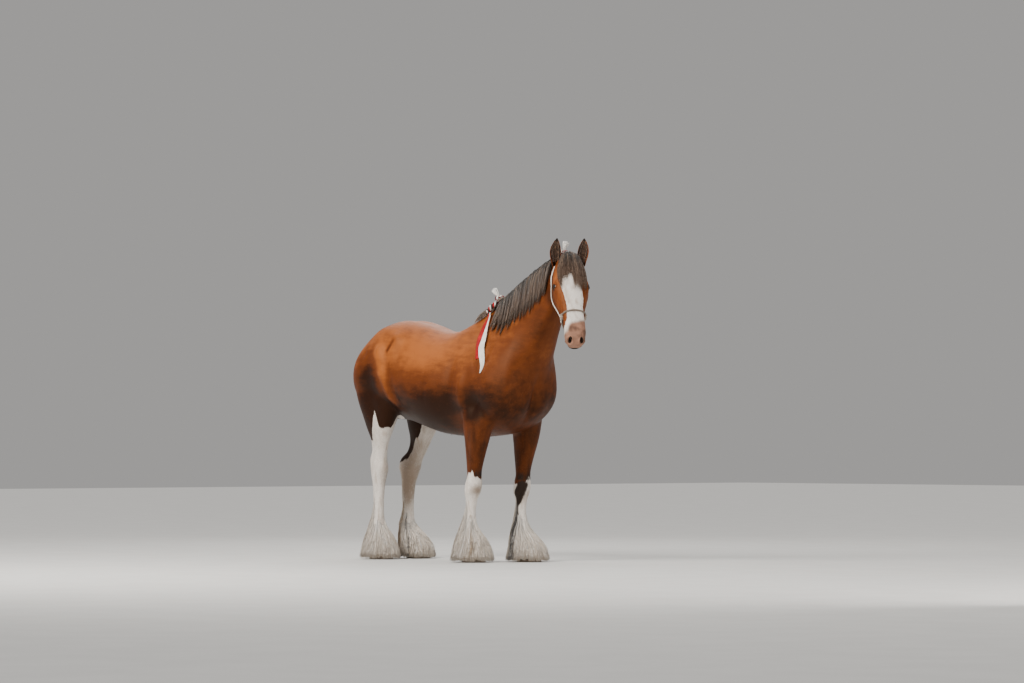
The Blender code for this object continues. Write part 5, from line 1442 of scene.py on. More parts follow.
def make_withers_hair(rng):
    """Shorter hair behind the plait, laid back along the crest to the withers."""
    net, count, steps = trunk_net(), 1300, 7
    t = np.linspace(0, 1, steps)[None]
    x = 0.36 + 0.2 * rng.uniform(0, 1, count)
    layer = rng.uniform(0, 1, count)[:, None]
    row = trunk_row(x[:, None] + 0.05 - 0.1 * t)
    around = (-0.02 + 0.03 * rng.uniform(-1, 1, count)[:, None]
              + t * (0.065 + 0.03 * rng.uniform(-1, 1, count)[:, None]))
    off = -0.006 + (0.014 + 0.02 * layer) * np.sin(np.clip(t * 3.0, 0, pi)) ** 0.8 + 0.006 * t
    path, _ = on_net(net, row, around, off)
    return locks("withers_hair", path, unit((0.8, -0.3, 0.5)), taper(steps), 0.0036, 0.7, 0.45,
                 skin_uv(path[:, 1]), rng)


# Length of the forelock's hair at shares of its width, from her right to her left.
FORELOCK_LENGTHS = ((0, 0.26, 0.38, 0.55, 0.75, 1), (0.2, 0.19, 0.14, 0.2, 0.25, 0.265))


def make_forelock(rng):
    """Hair from the poll, tied up behind the brow, that falls forward and parts over the blaze.

    Each path rises from its root, turns over and runs down the face, spreading to both sides;
    the hair over the blaze is short, and longest on her left."""
    net, count, steps, clumps = head_net(), 2600, 10, 19
    alongs = [row[0] for row in HEAD]
    t = np.linspace(0, 1, steps)[None]
    share, pick = clumped(rng, count, clumps, 1.3)
    share = np.clip(share, 0, 1)[:, None]
    length = np.interp(share, *FORELOCK_LENGTHS)
    length = length * (1 + 0.1 * rng.normal(0, 1, (count, 1))
                       + 0.2 * rng.uniform(-1, 1, clumps)[pick][:, None]
                       + 0.16 * (rng.uniform(0, 1, (count, 1)) < 0.18))
    length = np.clip(length, 0.08, 0.285)
    along = np.interp(t, (0, 0.25, 0.5), (0.0, 0.004, 0.052))
    along = along + 0.024 * rng.uniform(-1, 0.5, (count, 1))
    along = along + np.clip(2 * t - 1, 0, 1) * (length - 0.052)
    heart = (np.arange(clumps) + 0.5) / clumps
    heart = (heart + 0.022 * rng.uniform(-1, 1, clumps))[pick][:, None]
    gather = 1 - 0.88 * soft(0.35, 1.0, t)
    across = -0.062 + 0.134 * (heart + (share - heart) * gather)
    root = 0.04 * (2 * share - 1)
    place = root + (across - root) * t**0.7
    place = place + (0.006 * np.sin(pick * 2.1)[:, None]
                     + 0.003 * rng.normal(0, 1, (count, 1))) * t
    layer = rng.uniform(0, 1, (count, 1))
    off = np.interp(t, (0, 0.25, 0.5, 0.8, 1), (-0.01, 0.044, 0.034, 0.018, 0.008))
    off = np.where(t > 0.1, off * (0.3 + 0.6 * layer * (0.4 + 0.6 * gather))
                   * (1 - 0.25 * np.abs(2 * share - 1)), off)
    off = off + 0.004 * np.sin(pick * 2.7)[:, None] * np.sin(pi * t)
    row = np.interp(along, alongs, np.arange(len(alongs)))
    path, _ = on_net(net, row, -place / 0.62, off)
    wide = on_head(np.array([0.0, 1, 0])) - on_head(np.array([0.0, 0, 0]))
    return locks("forelock", path, wide, taper(steps, 0.7, 0.25, 0.8), 0.002, 0.5, 0.45,
                 skin_uv(path[:, 1]), rng)


# Full spread of a feather ahead, behind and beside, and its share at heights above the ground.
FEATHER_SPREAD = {"fore": (0.175, 0.175, 0.159), "hind": (0.165, 0.171, 0.149)}
BELL = ((0.0, 0.03, 0.07, 0.11, 0.14, 0.17, 0.21, 0.3, 0.4),
        (0.97, 0.96, 0.91, 0.83, 0.755, 0.67, 0.54, 0.36, 0.29))
# How far from the axis a feather's hair starts by the height of its root, where its core's skin
# is, and how far out the hoof keeps the hair.
ROOT_OUT = ((0.1, 0.14, 0.18, 0.23, 0.28, 0.42), (0.058, 0.046, 0.044, 0.048, 0.037, 0.035))
CORE_OUT = ((0.0, 0.096, 0.14, 0.18, 0.23, 0.28, 0.42),
            (0.096, 0.066, 0.042, 0.038, 0.036, 0.03, 0.03))
HOOF_CLEAR = ((0.0, 0.096, 0.12), (0.108, 0.08, 0.04))
# Coloured streaks of a feather: colour, strength, degrees from ahead to the outer side, their
# spread, the share of tufts, and the root heights over which it comes in.
FEATHER_STREAKS = {
    "fore_left": (("dark", 0.85, -102, 24, 0.8, 0.12, 0.2), ("tan", 0.8, -20, 14, 0.5, 0.16, 0.12)),
    "hind_left": (("tan", 1.1, -118, 20, 0.85, 0.14, 0.2), ("dark", 0.7, -62, 8, 0.6, 0.16, 0.2)),
    "fore_right": (("tan", 0.7, 40, 12, 0.6, 0.22, 0.25),),
}


def bell_spread(leg, turn):
    """Full spread round a leg: the ellipse of its sizes ahead or behind and beside."""
    front, rear, out = FEATHER_SPREAD[pair_of(leg)]
    c, s = np.cos(turn), np.sin(turn)
    return np.hypot(np.where(c > 0, front, rear) * c, out * s)


def feather_axis(leg, z):
    """Axis of a feather: the leg's, drawn to the foot's middle near the ground."""
    ax, ay = leg_axis(leg, z)
    foot = leg_axis(leg, CORONET)
    low = soft(0.16, 0.02, z)
    return ax * (1 - low) + foot[0] * low, ay * (1 - low) + foot[1] * low


def make_feather(leg, rng):
    """Silky hair from fetlock and cannon: each falls to the bell-shaped outline round the foot.

    Its radius grows from the skin to the bell's at that height, less by its layer; flat tufts
    gather in clumps, wave a little, and their tips spread along the ground."""
    side = LEGS[leg][0]
    count, steps, clumps = 6900, 6, 56
    t = np.linspace(0, 1, steps)[None]
    turn = rng.uniform(-pi, pi, count)
    pick = np.floor((turn / (2 * pi) + 0.5) * clumps).astype(int) % clumps
    heart = ((pick + 0.5) / clumps - 0.5) * 2 * pi
    back = soft(1.3, 2.1, np.abs(turn))
    high = 0.315 + 0.125 * back + 0.02 * np.sin(5 * turn + side)
    root = 0.105 + (high - 0.105) * rng.uniform(0, 1, count) ** 1.45
    length = rng.uniform(0.15, 0.28, count) * np.interp(root, (0.1, 0.3), (0.62, 1.0))
    hem = (0.003 + 0.018 * rng.uniform(0, 1, clumps)[pick] ** 2
           + 0.016 * rng.uniform(0, 1, count) ** 2)
    end = np.maximum(root - length, hem)
    long = rng.uniform(0, 1, count) < 0.62
    end = np.where(long & (root < 0.28), hem, end)
    z = root[:, None] + (end - root)[:, None] * np.minimum(t / 0.94, 1) ** 0.92
    bell = np.interp(z, *BELL) + 0.03 * soft(0.8, 1.0, t) * (z < 0.03)
    reach = bell_spread(leg, turn[:, None]) * bell
    layer = np.interp(root, (0.1, 0.3), (0.62, 1.0))[:, None]
    layer = layer * rng.uniform(0.9, 1.0, (count, 1))
    layer = layer * (1 - 0.06 * rng.uniform(0, 1, clumps)[pick])[:, None]
    ax, ay = feather_axis(leg, z)
    start = np.interp(root, *ROOT_OUT)[:, None]
    layer = layer + (1 - layer) * 0.7 * soft(0.5, 1.0, t)
    radius = start + (reach * layer - start) * soft(-0.04, 0.75, t) ** 0.85
    radius = np.where(t > 0.2, np.maximum(radius, np.interp(z, *HOOF_CLEAR)), radius)
    phase = rng.uniform(0, 6.28, (count, 1))
    sway = (0.06 * rng.uniform(-1, 1, count) + 0.06 * np.sin(turn * 9 + side))[:, None] * t
    sway = sway + 0.028 * np.sin(7 * t + phase) * t
    sway = sway + (heart - turn)[:, None] * 0.45 * soft(0.3, 1.0, t)
    angle = turn[:, None] + sway
    path = stacked(ax + radius * np.cos(angle), ay + radius * np.sin(angle), z)
    wide = stacked(-np.sin(angle), np.cos(angle), 0 * angle)
    broad = np.where(rng.uniform(0, 1, count) < 0.5, 0.0047, 0.0021) * rng.uniform(0.7, 1.2, count)
    width = taper(steps, 0.2, 0.35, 0.5)[None] * broad[:, None]
    outer = np.degrees(turn * side)
    chance = rng.uniform(0, 1, count)
    tints = {"tan": 0.35 * soft(0.12, 0.02, end) * chance, "dark": np.zeros(count)}
    for colour, strength, middle, spread, share, fade, full in FEATHER_STREAKS.get(leg, ()):
        streak = strength * np.exp(-((outer - middle) / spread) ** 2)
        tints[colour] += streak * (chance < share) * soft(fade, full, root)
    stain = soft(0.1, 0.0, end) * rng.uniform(0.0, 1.0, count)
    return strands("feather_" + leg, path, wide, width, width * 0.22, skin_uv(path[:, 0]),
                   {"pick": rng.uniform(0, 1, count), "dark": tints["dark"],
                    "tan": tints["tan"], "stain": stain})


def make_feather_core(leg):
    """Close under hair: a bell round the leg, under half way out to the tips."""
    side = LEGS[leg][0]
    z = np.linspace(0.022, 0.24, 22)
    turn = full_turn(64)
    c, s = np.cos(turn)[None], np.sin(turn)[None]
    reach = bell_spread(leg, turn[None]) * np.interp(z, *BELL)[:, None]
    skin = np.interp(z, *CORE_OUT)[:, None]
    radius = skin + 0.46 * np.maximum(reach - skin, 0) * soft(0.235, 0.11, z)[:, None]
    radius = radius * (1 + 0.02 * np.sin(17 * turn + side) + 0.012 * np.sin(31 * turn))[None]
    ax, ay = feather_axis(leg, z)
    rings = stacked(ax[:, None] + radius * c, ay[:, None] + radius * s, z[:, None] + 0 * radius)
    return tube("feather_core_" + leg, rings)


# At shares of the dock's length, its radius and that at which its hair starts.
DOCK_SHARES = (0, 0.2, 0.5, 0.8, 1.0)
DOCK_RADII = (0.033, 0.037, 0.033, 0.023, 0.008)
TAIL_ROOT_RADII = (0.03, 0.034, 0.03, 0.02, 0.006)
DOCK_BACK = 0.085
# How far back the rump reaches at heights, on the middle line.
RUMP_BACK = ((1.1, 1.24, 1.32, 1.4, 1.475, 1.555),
             (-0.865, -0.898, -0.905, -0.9, -0.862, -0.79))


def make_dock():
    """A short dock: a bent taper that falls as it goes back by the square root."""
    x, z = TAIL_TOP
    s = np.linspace(0, 1, 24)
    radius = np.interp(s, DOCK_SHARES, DOCK_RADII)
    turn = full_turn(32)
    lean = 0.4 * radius[:, None] * np.cos(turn) * (s < 0.3)[:, None]
    rings = stacked(
        (x - DOCK_BACK * np.sqrt(s))[:, None] + radius[:, None] * np.cos(turn),
        radius[:, None] * np.sin(turn),
        (z - TAIL_LENGTH * s)[:, None] - lean,
    )
    return tube("dock", rings)


def make_tail_hair(rng):
    """Hair that swells out from the dock's skin and hangs, kept behind the rump."""
    x, z = TAIL_TOP
    count, steps = 2200, 8
    t = np.linspace(0, 1, steps)[None]
    start = rng.uniform(0.02, 0.85, count)
    turn = rng.uniform(-pi, pi, count)
    length = rng.uniform(0.16, 0.27, count) * (1 - 0.25 * start)
    size = np.interp(start, DOCK_SHARES, TAIL_ROOT_RADII)
    swell = 0.018 * np.sin(np.clip(t * 2.6, 0, pi)) * rng.uniform(0.4, 1.0, (count, 1))
    swell = size[:, None] + swell
    behind = np.minimum(np.cos(turn), 0.55)[:, None]
    path = stacked(
        (x - DOCK_BACK * np.sqrt(start))[:, None] - 0.016 * t + swell * behind,
        swell * np.sin(turn)[:, None] * 1.05,
        (z - TAIL_LENGTH * start)[:, None] - length[:, None] * t,
    )
    path[..., 0] = np.minimum(path[..., 0], np.interp(path[..., 2], *RUMP_BACK) - 0.004)
    wide = stacked(-np.sin(turn), np.cos(turn), 0 * turn)[:, None]
    uv = stacked(0.6 + 0.3 * start, 0.6 + 0.3 * (turn / 6.3 + 0.5))
    return locks("tail_hair", path, wide, taper(steps), 0.004, 0.7, 0.5, uv, rng)


def ear_axes(side):
    """Foot of an ear, and its ways up, out and ahead."""
    base = on_head(head_point(EAR_AT[0], EAR_AT[1], side * EAR_AT[2]))
    _, out, _ = head_frame(side, 0.0)
    up = unit(np.array([0.0, 0.0, 1.0]) + 0.04 * out)
    return base, up, out, np.cross(out, up) * side


def ear_sizes(shares):
    """Half width, depth of the cup and thickness of the edge at shares of an ear's length."""
    places, *sizes = np.array(EAR).T
    return [np.interp(shares, places, size) for size in sizes]


def ear_lean(side, shares):
    """How far an ear leans out, with the square of the share of its length."""
    return side * EAR_LEAN * EAR_LENGTH * shares**2


def ear_shell(name, side):
    """A cupped leaf: crescent sections up the ear, cup behind and open to the front."""
    base, up, out, front = ear_axes(side)
    shares = np.linspace(0, 1, 40)[:, None]
    half, cup, edge = ear_sizes(shares)
    outer = np.radians(np.linspace(-100, 100, 25))
    inner = np.radians(np.linspace(88, -88, 23))
    edge = np.minimum(edge, half * 0.4)
    across = np.concatenate([half * np.sin(outer), (half - edge) * np.sin(inner)], axis=1)
    back = np.concatenate([cup * np.cos(outer), (cup - edge) * np.cos(inner)], axis=1)
    bow = 0.006 * np.sin(pi * shares) + ear_lean(side, shares)
    middle = (base + up * (shares * EAR_LENGTH)[..., None] + out * bow[..., None]
              + front * (0.01 * shares)[..., None])
    return tube(name, middle + across[..., None] * out - back[..., None] * front)


def make_ear_shell(side):
    """The ear's shell, dark inside its cup and at its tip."""
    base, up, out, front = ear_axes(side)
    shell = ear_shell("ear_skin_" + SIDES[side], side)
    d = layout_points(shell) - base
    high = (d @ up) / EAR_LENGTH
    half, cup, _ = ear_sizes(high)
    middle = up * (d @ up)[:, None] + out * ear_lean(side, high)[:, None]
    within = np.linalg.norm(d - middle, axis=1)
    dark = 0.95 * soft(0.86, 0.7, within / np.maximum(half, 0.004))
    dark = np.maximum(dark * (d @ front > -cup * 0.62), soft(0.84, 0.99, high) * 0.9)
    give_values(shell.data, {"dark": dark, "white": 0 * dark, "bare": 0 * dark,
                             "light": 0.55 + 0 * dark, "upright": 1 + 0 * dark})
    return shell


def make_ear_hair(side, rng):
    """Hair that stands in the ear's cup and leans out of it."""
    base, up, out, front = ear_axes(side)
    count, steps = 420, 6
    t = np.linspace(0, 1, steps)[None]
    share = rng.uniform(0.08, 0.8, count)[:, None]
    place = rng.uniform(-1, 1, count)[:, None]
    half, cup, _ = ear_sizes(share)
    across = (half - 0.006) * np.sin(place * 1.45) * (1 - 0.35 * t)
    back = (cup - 0.006) * np.cos(place * 1.45) * (1 - 0.85 * t)
    rise = (share + 0.14 * t) * EAR_LENGTH
    aside = across + ear_lean(side, rise / EAR_LENGTH) + 0.006 * np.sin(pi * share)
    path = (base + up * rise[..., None] + out * aside[..., None]
            - front * (back - 0.01 * share)[..., None])
    uv = stacked(0.9 + 0.05 * share[:, 0], 0.6 + 0.1 * place[:, 0] + 0.15 * side)
    return locks("ear_hair_" + SIDES[side], path, out, taper(steps), 0.0021, 0.7, 0.5, uv, rng)


def make_eye(side):
    """A ball with its iris looking out: pupil holds a stretched distance from the middle."""
    along, out, up = head_frame(side, EYE_FORWARD)
    rows, columns = 28, 40
    ball = unit_ball(rows, columns)
    rings = eye_middle(side) + EYE_RADIUS * (ball[..., :1] * along + ball[..., 1:2] * up
                                             + ball[..., 2:] * out)
    pupil = np.hypot(ball[..., 0] * 1.5, ball[..., 1] * 2.4)
    pupil = np.where(ball[..., 2] > 0, pupil, 3.0)
    made = mesh_from("eyeball_" + SIDES[side], put(rings), grid_faces(rows, columns), None,
                     {"pupil": pupil.ravel()})
    return outward(made, 1e-6)


def make_hoof(leg):
    """Horn wall from sole to coronet: a leaning cone with fine rings of growth."""
    x, y = leg_axis(leg, CORONET)
    share = np.concatenate([[0.0], np.linspace(0.02, 1, 44)])[:, None]
    turn = full_turn(64)[None]
    c, s = np.cos(turn), np.sin(turn)
    z = share * (CORONET - 0.0005) + 0 * turn
    front, rear, beside = [a + (b - a) * share for a, b in zip(HOOF_SOLE, HOOF_CROWN)]
    ring = 1 + 0.006 * np.sin(share * 44) * (1 - share) - 0.015 * (share < 0.01)
    ahead = 0.012 * (1 - share) + np.where(c > 0, front, rear) * ring * c
    angle = float(leg_turn(leg, CORONET))
    rings = stacked(*toed(x, y, ahead, beside * ring * s, angle), z)
    return tube("hoof_wall_" + leg, rings)


def make_coat_tufts(skin, rng):
    """Short tufts over the skin that lie back along it and break its outline."""
    mesh = skin.data
    mesh.calc_loop_triangles()
    tri = np.empty(len(mesh.loop_triangles) * 3, np.int32)
    mesh.loop_triangles.foreach_get("vertices", tri)
    tri = tri.reshape(-1, 3)
    corner = layout_points(skin)[tri]
    edges = corner[:, 1:] - corner[:, :1]
    area = np.linalg.norm(np.cross(edges[:, 0], edges[:, 1]), axis=1)
    centre = corner.mean(axis=1)
    local = head_places(centre)
    bare = head_share(centre) * soft(0.46, 0.5, local[:, 0])
    weight = area * ~near_eye(local, 0.045) * (1 - bare) * (0.6 + 1.2 * (centre[:, 2] < 0.95))
    weight *= 1 - 0.7 * head_share(centre)
    weight *= centre[:, 2] > 0.12
    count, steps = 12000, 4
    pick = rng.choice(len(tri), count, p=weight / weight.sum())
    mixing = rng.dirichlet((1, 1, 1), count)
    root = np.einsum("ij,ijk->ik", mixing, corner[pick])
    normal = unit(np.einsum("ij,ijk->ik", mixing, vertex_normals(skin)[tri][pick]))
    head = head_share(root)[:, None]
    low = soft(1.0, 0.85, root[:, 2])[:, None]
    lie = np.array([-1.0, 0.0, -0.35]) * (1 - low) + np.array([-0.15, 0.0, -1.0]) * low
    face = head_frame(1, 0.0)[0]
    lie = unit(lie * (1 - head) + face * head)
    lie = unit(lie - normal * np.sum(lie * normal, axis=1, keepdims=True)
               + 0.12 * rng.normal(0, 1, (count, 3)))
    length = (0.01 + 0.005 * rng.uniform(0, 1, count))[:, None, None]
    t = np.linspace(0, 1, steps)[None, :, None]
    path = (root[:, None] + lie[:, None] * t * length
            + normal[:, None] * (-0.0003 + 0.001 * np.sin(t * 2.4)))
    wide = np.broadcast_to(np.cross(lie, normal)[:, None], path.shape)
    width = taper(steps)[None] * (0.001 * rng.uniform(0.7, 1.3, count))[:, None]
    white, dark, bare, light = markings(root)
    # The tufts' light is raised above the skin's: a painted lightening that makes up for the shade
    # along their sides.
    return strands("coat_tufts", path, wide, width, width * 0.25, skin_uv(root),
                   {"white": white, "dark": dark, "bare": 0 * bare, "light": light + 0.28,
                    "upright": np.maximum(low[:, 0], head[:, 0])})


def swept_rings(path, wide, up, half, thick, sides=12, power=0.6):
    """Rounded band sections along a path: cosine and sine to a power give soft corners."""
    turn = np.broadcast_to(full_turn(sides), (len(path), sides))
    c = np.sign(np.cos(turn)) * np.abs(np.cos(turn)) ** power
    s = np.sign(np.sin(turn)) * np.abs(np.sin(turn)) ** power
    half = np.broadcast_to(half, len(path))[:, None]
    thick = np.broadcast_to(thick, len(path))[:, None]
    return (path[:, None] + (half * c)[..., None] * wide[:, None]
            + (thick / 2 * s)[..., None] * up[:, None])


def band_axes(path, away, closed=False):
    """Ways across a path and off it, from cross products of its tangent with the way out."""
    ahead = np.roll(path, -1, 0) - np.roll(path, 1, 0) if closed else np.gradient(path, axis=0)
    tangent = unit(ahead)
    wide = unit(np.cross(tangent, away))
    return wide, np.cross(wide, tangent)


# Longest way from the middle of the head out to its skin.
HEAD_REACH = 0.2


def tree_of(obj):
    return BVHTree.FromObject(obj, bpy.context.evaluated_depsgraph_get())


def on_skin(trees, reach, centre, off):
    """Where rays back from reach to centre meet the outermost skin, and the way out there."""
    placed, ways = [], []
    for point, middle in zip(put(reach), put(centre)):
        way = Vector(point - middle).normalized()
        best, normal = 0.05, way
        for tree in trees:
            hit, found, _, _ = tree.ray_cast(Vector(middle) + way * HEAD_REACH, -way)
            if hit is not None and (hit - Vector(middle)).dot(way) > best:
                best, normal = (hit - Vector(middle)).dot(way), found
        placed.append(np.array(Vector(middle) + way * (best + off)) + ORIGIN)
        ways.append(np.array(normal))
    return np.array(placed), np.array(ways)


def eased(rows, rounds, closed=False):
    """Runs a small average along a list of points to take its kinks out."""
    rows = np.array(rows, float)
    for _ in range(rounds):
        if closed:
            rows = rows * 0.5 + (np.roll(rows, 1, 0) + np.roll(rows, -1, 0)) * 0.25
        else:
            rows[1:-1] = rows[1:-1] * 0.5 + (rows[2:] + rows[:-2]) * 0.25
    return rows


def make_cheek_strap(trees):
    """Strap over the poll and down both cheeks: a rounded band along a line on the skin."""
    turns = np.radians(np.linspace(-150, 150, 91))
    size = np.abs(turns)
    along = np.interp(size, np.radians([0, 60, 100, 150]), [0.045, 0.1, 0.26, 0.435])
    depth = np.interp(size, np.radians([0, 60, 100, 150]), [-0.16, -0.16, -0.16, -0.11])
    centre = on_head(head_point(along, depth, 0.0))
    side = np.sign(turns) * np.interp(size, np.radians([0, 25, 60]), [0, 0.45, 1.0])
    lift = np.interp(size, np.radians([0, 25, 60]), [1.0, 0.75, 0.0])
    reach = on_head(head_point(along - 0.75 * lift, depth + 0.55 * lift, side))
    path, away = on_skin(trees, reach, centre, 0.0045)
    path, away = eased(path, 6), unit(eased(away, 10))
    wide, up = band_axes(path, away)
    return tube("cheek_strap", swept_rings(path, wide, up, 0.008, 0.0045, 16))


# Noseband: points round it, its place along the face and depth, turns of the rope, and the
# points at which its knots sit.
NOSE_POINTS, NOSE_ALONG, NOSE_DEPTH, ROPE_TURNS, KNOTS_AT = 120, 0.46, -0.09, 22, (23, 97)
RING_RADIUS, RING_THICKNESS = 0.019, 0.0033


def make_nose_rope(trees):
    """Laid rope round the nose: sections of three lobes that turn as they go along."""
    turns = full_turn(NOSE_POINTS)
    c, s = np.cos(turns), np.sin(turns)
    along = np.where(c > 0, NOSE_ALONG - 0.035 * c, NOSE_ALONG - 0.055 * c)
    centre = on_head(head_point(along, np.full(NOSE_POINTS, NOSE_DEPTH), 0.0))
    reach = on_head(head_point(along, NOSE_DEPTH + c, s))
    path, away = on_skin(trees, reach, centre, 0.0055)
    path, away = eased(path, 6, True), unit(eased(away, 6, True))
    wide, up = band_axes(path, away, True)
    turn = full_turn(18)
    spin = turns[:, None] * ROPE_TURNS
    lobe = 0.005 + 0.0016 * np.abs(np.cos(1.5 * turn[None] - 1.5 * spin))
    rings = (path[:, None] + (lobe * np.cos(turn))[..., None] * wide[:, None]
             + (lobe * np.sin(turn))[..., None] * up[:, None])
    return tube("nose_rope", rings, None, True), (path, wide, up)


def make_knots(line_axes):
    """A coil of twine round the rope on each side of the nose."""
    knots = []
    for middle in KNOTS_AT:
        places = np.linspace(middle - 4, middle + 4, 90)
        spin = np.linspace(0, 2 * pi * 3.5, 90)[:, None]
        line, broad, high = (spline(rows, places) for rows in line_axes)
        coil = line + 0.009 * (np.cos(spin) * unit(broad) + np.sin(spin) * unit(high))
        off = unit(coil - line)
        wide = unit(np.cross(unit(np.gradient(coil, axis=0)), off))
        knots.append(tube("knot", swept_rings(coil, wide, off, 0.0048, 0.0096, 12, 1.0)))
    return joined("rope_knots", knots)


def make_cheek_ring(name, trees, side):
    """A plain round ring that lies on one cheek."""
    at = on_head(head_point(0.455, NOSE_DEPTH, side * 0.5))
    middle = on_head(head_point(0.455, NOSE_DEPTH, 0.0))
    spot, away = on_skin(trees, [at], [middle], 0.011)
    out = away[0]
    one = unit(np.cross(out, (0, 0, 1.0)))
    two = np.cross(out, one)
    a, b = np.meshgrid(full_turn(48), full_turn(12), indexing="ij")
    wheel = np.cos(a)[..., None] * one + np.sin(a)[..., None] * two
    rings = (spot[0] + wheel * (RING_RADIUS + RING_THICKNESS * np.cos(b))[..., None]
             + (RING_THICKNESS * np.sin(b))[..., None] * out)
    return tube(name, rings, None, True)


def make_plait():
    """Two wound rolls of ribbon, red and white, turning round each other down the crest."""
    low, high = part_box("mane_braid")
    start, end = np.array(high) + ORIGIN, np.array(low) + ORIGIN
    start[1], end[1] = -0.028, -0.1
    start -= (0.014, 0, 0.014)
    end += (0.014, 0, 0.014)
    t = np.linspace(0, 1, 90)[:, None]
    middle = start * (1 - t) + end * t + np.array([0.0, -0.012, 0.004]) * np.sin(pi * t)
    wide, up = band_axes(middle, (0.0, 1.0, 0.0))
    made = []
    for k, name in enumerate(("plait_red", "plait_white", "plait_hair")):
        spin = t * 2 * pi * 2.6 + k * 2 * pi / 3
        path = middle + 0.0072 * (np.cos(spin) * wide + np.sin(spin) * up)
        ends = np.sqrt(np.clip(np.minimum(8 * t, 8 * (1 - t)), 0.05, 1))[:, 0]
        made.append(tube(name, swept_rings(path, wide, up, 0.0078 * ends, 0.0156 * ends, 12, 1.0)))
    return made


# Ribbons on the shoulder: x, z and height off the skin down the middle, and half the width.
RED_RIBBON = ((0.494, 1.718, 0.024, 0.011), (0.482, 1.69, 0.014, 0.015),
              (0.477, 1.636, 0.01, 0.023), (0.512, 1.537, 0.008, 0.025),
              (0.546, 1.47, 0.006, 0.021), (0.577, 1.404, 0.005, 0.015))
WHITE_RIBBON = ((0.502, 1.718, 0.026, 0.009), (0.508, 1.69, 0.02, 0.01),
                (0.528, 1.636, 0.018, 0.013), (0.576, 1.537, 0.015, 0.023),
                (0.595, 1.467, 0.011, 0.026), (0.639, 1.37, 0.007, 0.016),
                (0.648, 1.305, 0.005, 0.005))


def ribbon_sheet(name, rows, skin, phase):
    """A hanging ribbon: a thin sheet down the shoulder, with soft waves across its width.

    Its middle line stands off the skin; the wave is a sine across and along, and the sheet is
    given its thickness by its two faces."""
    tree = tree_of(skin)
    points, ways = [], []
    for x, z, off, _ in rows:
        hit, normal, _, _ = tree.ray_cast(Vector(put((x, -1.0, z))), Vector((0, 1, 0)))
        points.append(np.array(hit) + ORIGIN + np.array(normal) * (off + 0.002))
        ways.append(np.array(normal))
    places = np.linspace(0, len(rows) - 1, 60)
    path, away = spline(np.array(points), places), unit(spline(np.array(ways), places))
    half = spline(np.array([row[3] for row in rows])[:, None], places)
    wide, _ = band_axes(path, away)
    across = np.linspace(-1, 1, 15)[None]
    down = np.linspace(0, 1, 60)[:, None]
    wave = 0.0028 * np.sin(2.6 * across + 7 * down + phase) + 0.0012 * np.sin(9 * down + 3 * across)
    middle = (path[:, None] + (half * across)[..., None] * wide[:, None]
              + wave[..., None] * away[:, None])
    near, far = (middle + lift * away[:, None] for lift in (0.0005, -0.0005))
    return tube(name, np.concatenate([near, far[:, ::-1]], axis=1))


def make_bow(name, at, way, out, size):
    """A knot, two open loops and two short ends of ribbon.

    Each loop is a flat band bent round in the shape of a drop; each end falls in a slow curve."""
    way = unit(np.array(way, float))
    out = unit(np.array(out, float) - np.dot(out, way) * way)
    side = np.cross(way, out)
    made = [blob(np.array(at), (side, way, out), (size * 0.15, size * 0.15, size * 0.15))]
    a = np.linspace(0, 2 * pi, 41)[:-1]
    for turn in (-1, 1):
        reach = size * 0.36 * (1 - np.cos(a))
        rise = size * 0.24 * np.sin(a) * (1 - np.cos(a)) - 0.18 * reach
        path = np.array(at) + (turn * reach)[:, None] * side + rise[:, None] * way
        tangent = unit(np.roll(path, -1, 0) - np.roll(path, 1, 0))
        wide = np.broadcast_to(out, path.shape)
        up = unit(np.cross(wide, tangent))
        width = size * (0.12 + 0.1 * np.sin(a / 2))
        made.append(tube(name + "_loop", swept_rings(path, wide, up, width, 0.0016, 10, 0.8),
                         None, True))
        t = np.linspace(0, 1, 14)[:, None]
        path = (np.array(at) + turn * size * (0.1 + 0.35 * t) * side * t**0.5
                - way * size * 0.75 * t + out * size * (0.16 + 0.1 * np.sin(4 * t)))
        tangent = unit(np.gradient(path, axis=0))
        wide = unit(np.cross(out, tangent))
        up = np.cross(wide, tangent)
        made.append(tube(name + "_end", swept_rings(path, wide, up, size * 0.13, 0.0016, 10, 0.8)))
    return joined(name, made)


def make_brush(name, at, way, length, radius, rng):
    """Stiff bristles that spread from a tied foot."""
    way = unit(np.array(way, float))
    side = unit(np.cross(way, (0.0, 1.0, 0.3)))
    other = np.cross(way, side)
    count, steps = 420, 6
    t = np.linspace(0, 1, steps)[None]
    turn = rng.uniform(0, 2 * pi, count)[:, None]
    far = np.sqrt(rng.uniform(0, 1, count))[:, None]
    spread = radius * far * (0.15 + 0.85 * t**0.9)
    out = np.cos(turn)[..., None] * side + np.sin(turn)[..., None] * other
    rise = length * (0.9 + 0.1 * rng.uniform(0, 1, count))[:, None] * t * (1 - 0.1 * far)
    path = np.array(at) + way * rise[..., None] + out * spread[..., None]
    width = np.array([1, 1, 1, 0.95, 0.8, 0])[None] * np.full((count, 1), 0.0014)
    wide = np.broadcast_to(np.cross(out, way), path.shape)
    uv = stacked(0.95 + 0.02 * far[:, 0], 0.9 + 0.01 * turn[:, 0])
    return strands(name, path, wide, width, width, uv, {"pick": rng.uniform(0, 0.7, count)})


def dress(obj, material, *nodes, slot=None):
    """Gives a piece its finish, ties it to what it rides on, and hides the parts it stands for."""
    obj.data.materials.clear()
    obj.data.materials.append(material)
    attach(obj, "root")
    if nodes:
        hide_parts(*nodes)
    return obj


def dress_skin(coat, rng):
    skin = make_skin()
    give_uv(skin)
    flesh_nodes = ["head", "neck", "torso"]
    for leg in LEGS:
        flesh_nodes += ["leg_" + leg, "shank_" + leg]
    dress(skin, coat, *flesh_nodes, slot="bay_coat")
    dress(make_coat_tufts(skin, rng), coat, slot="bay_coat")
    return skin


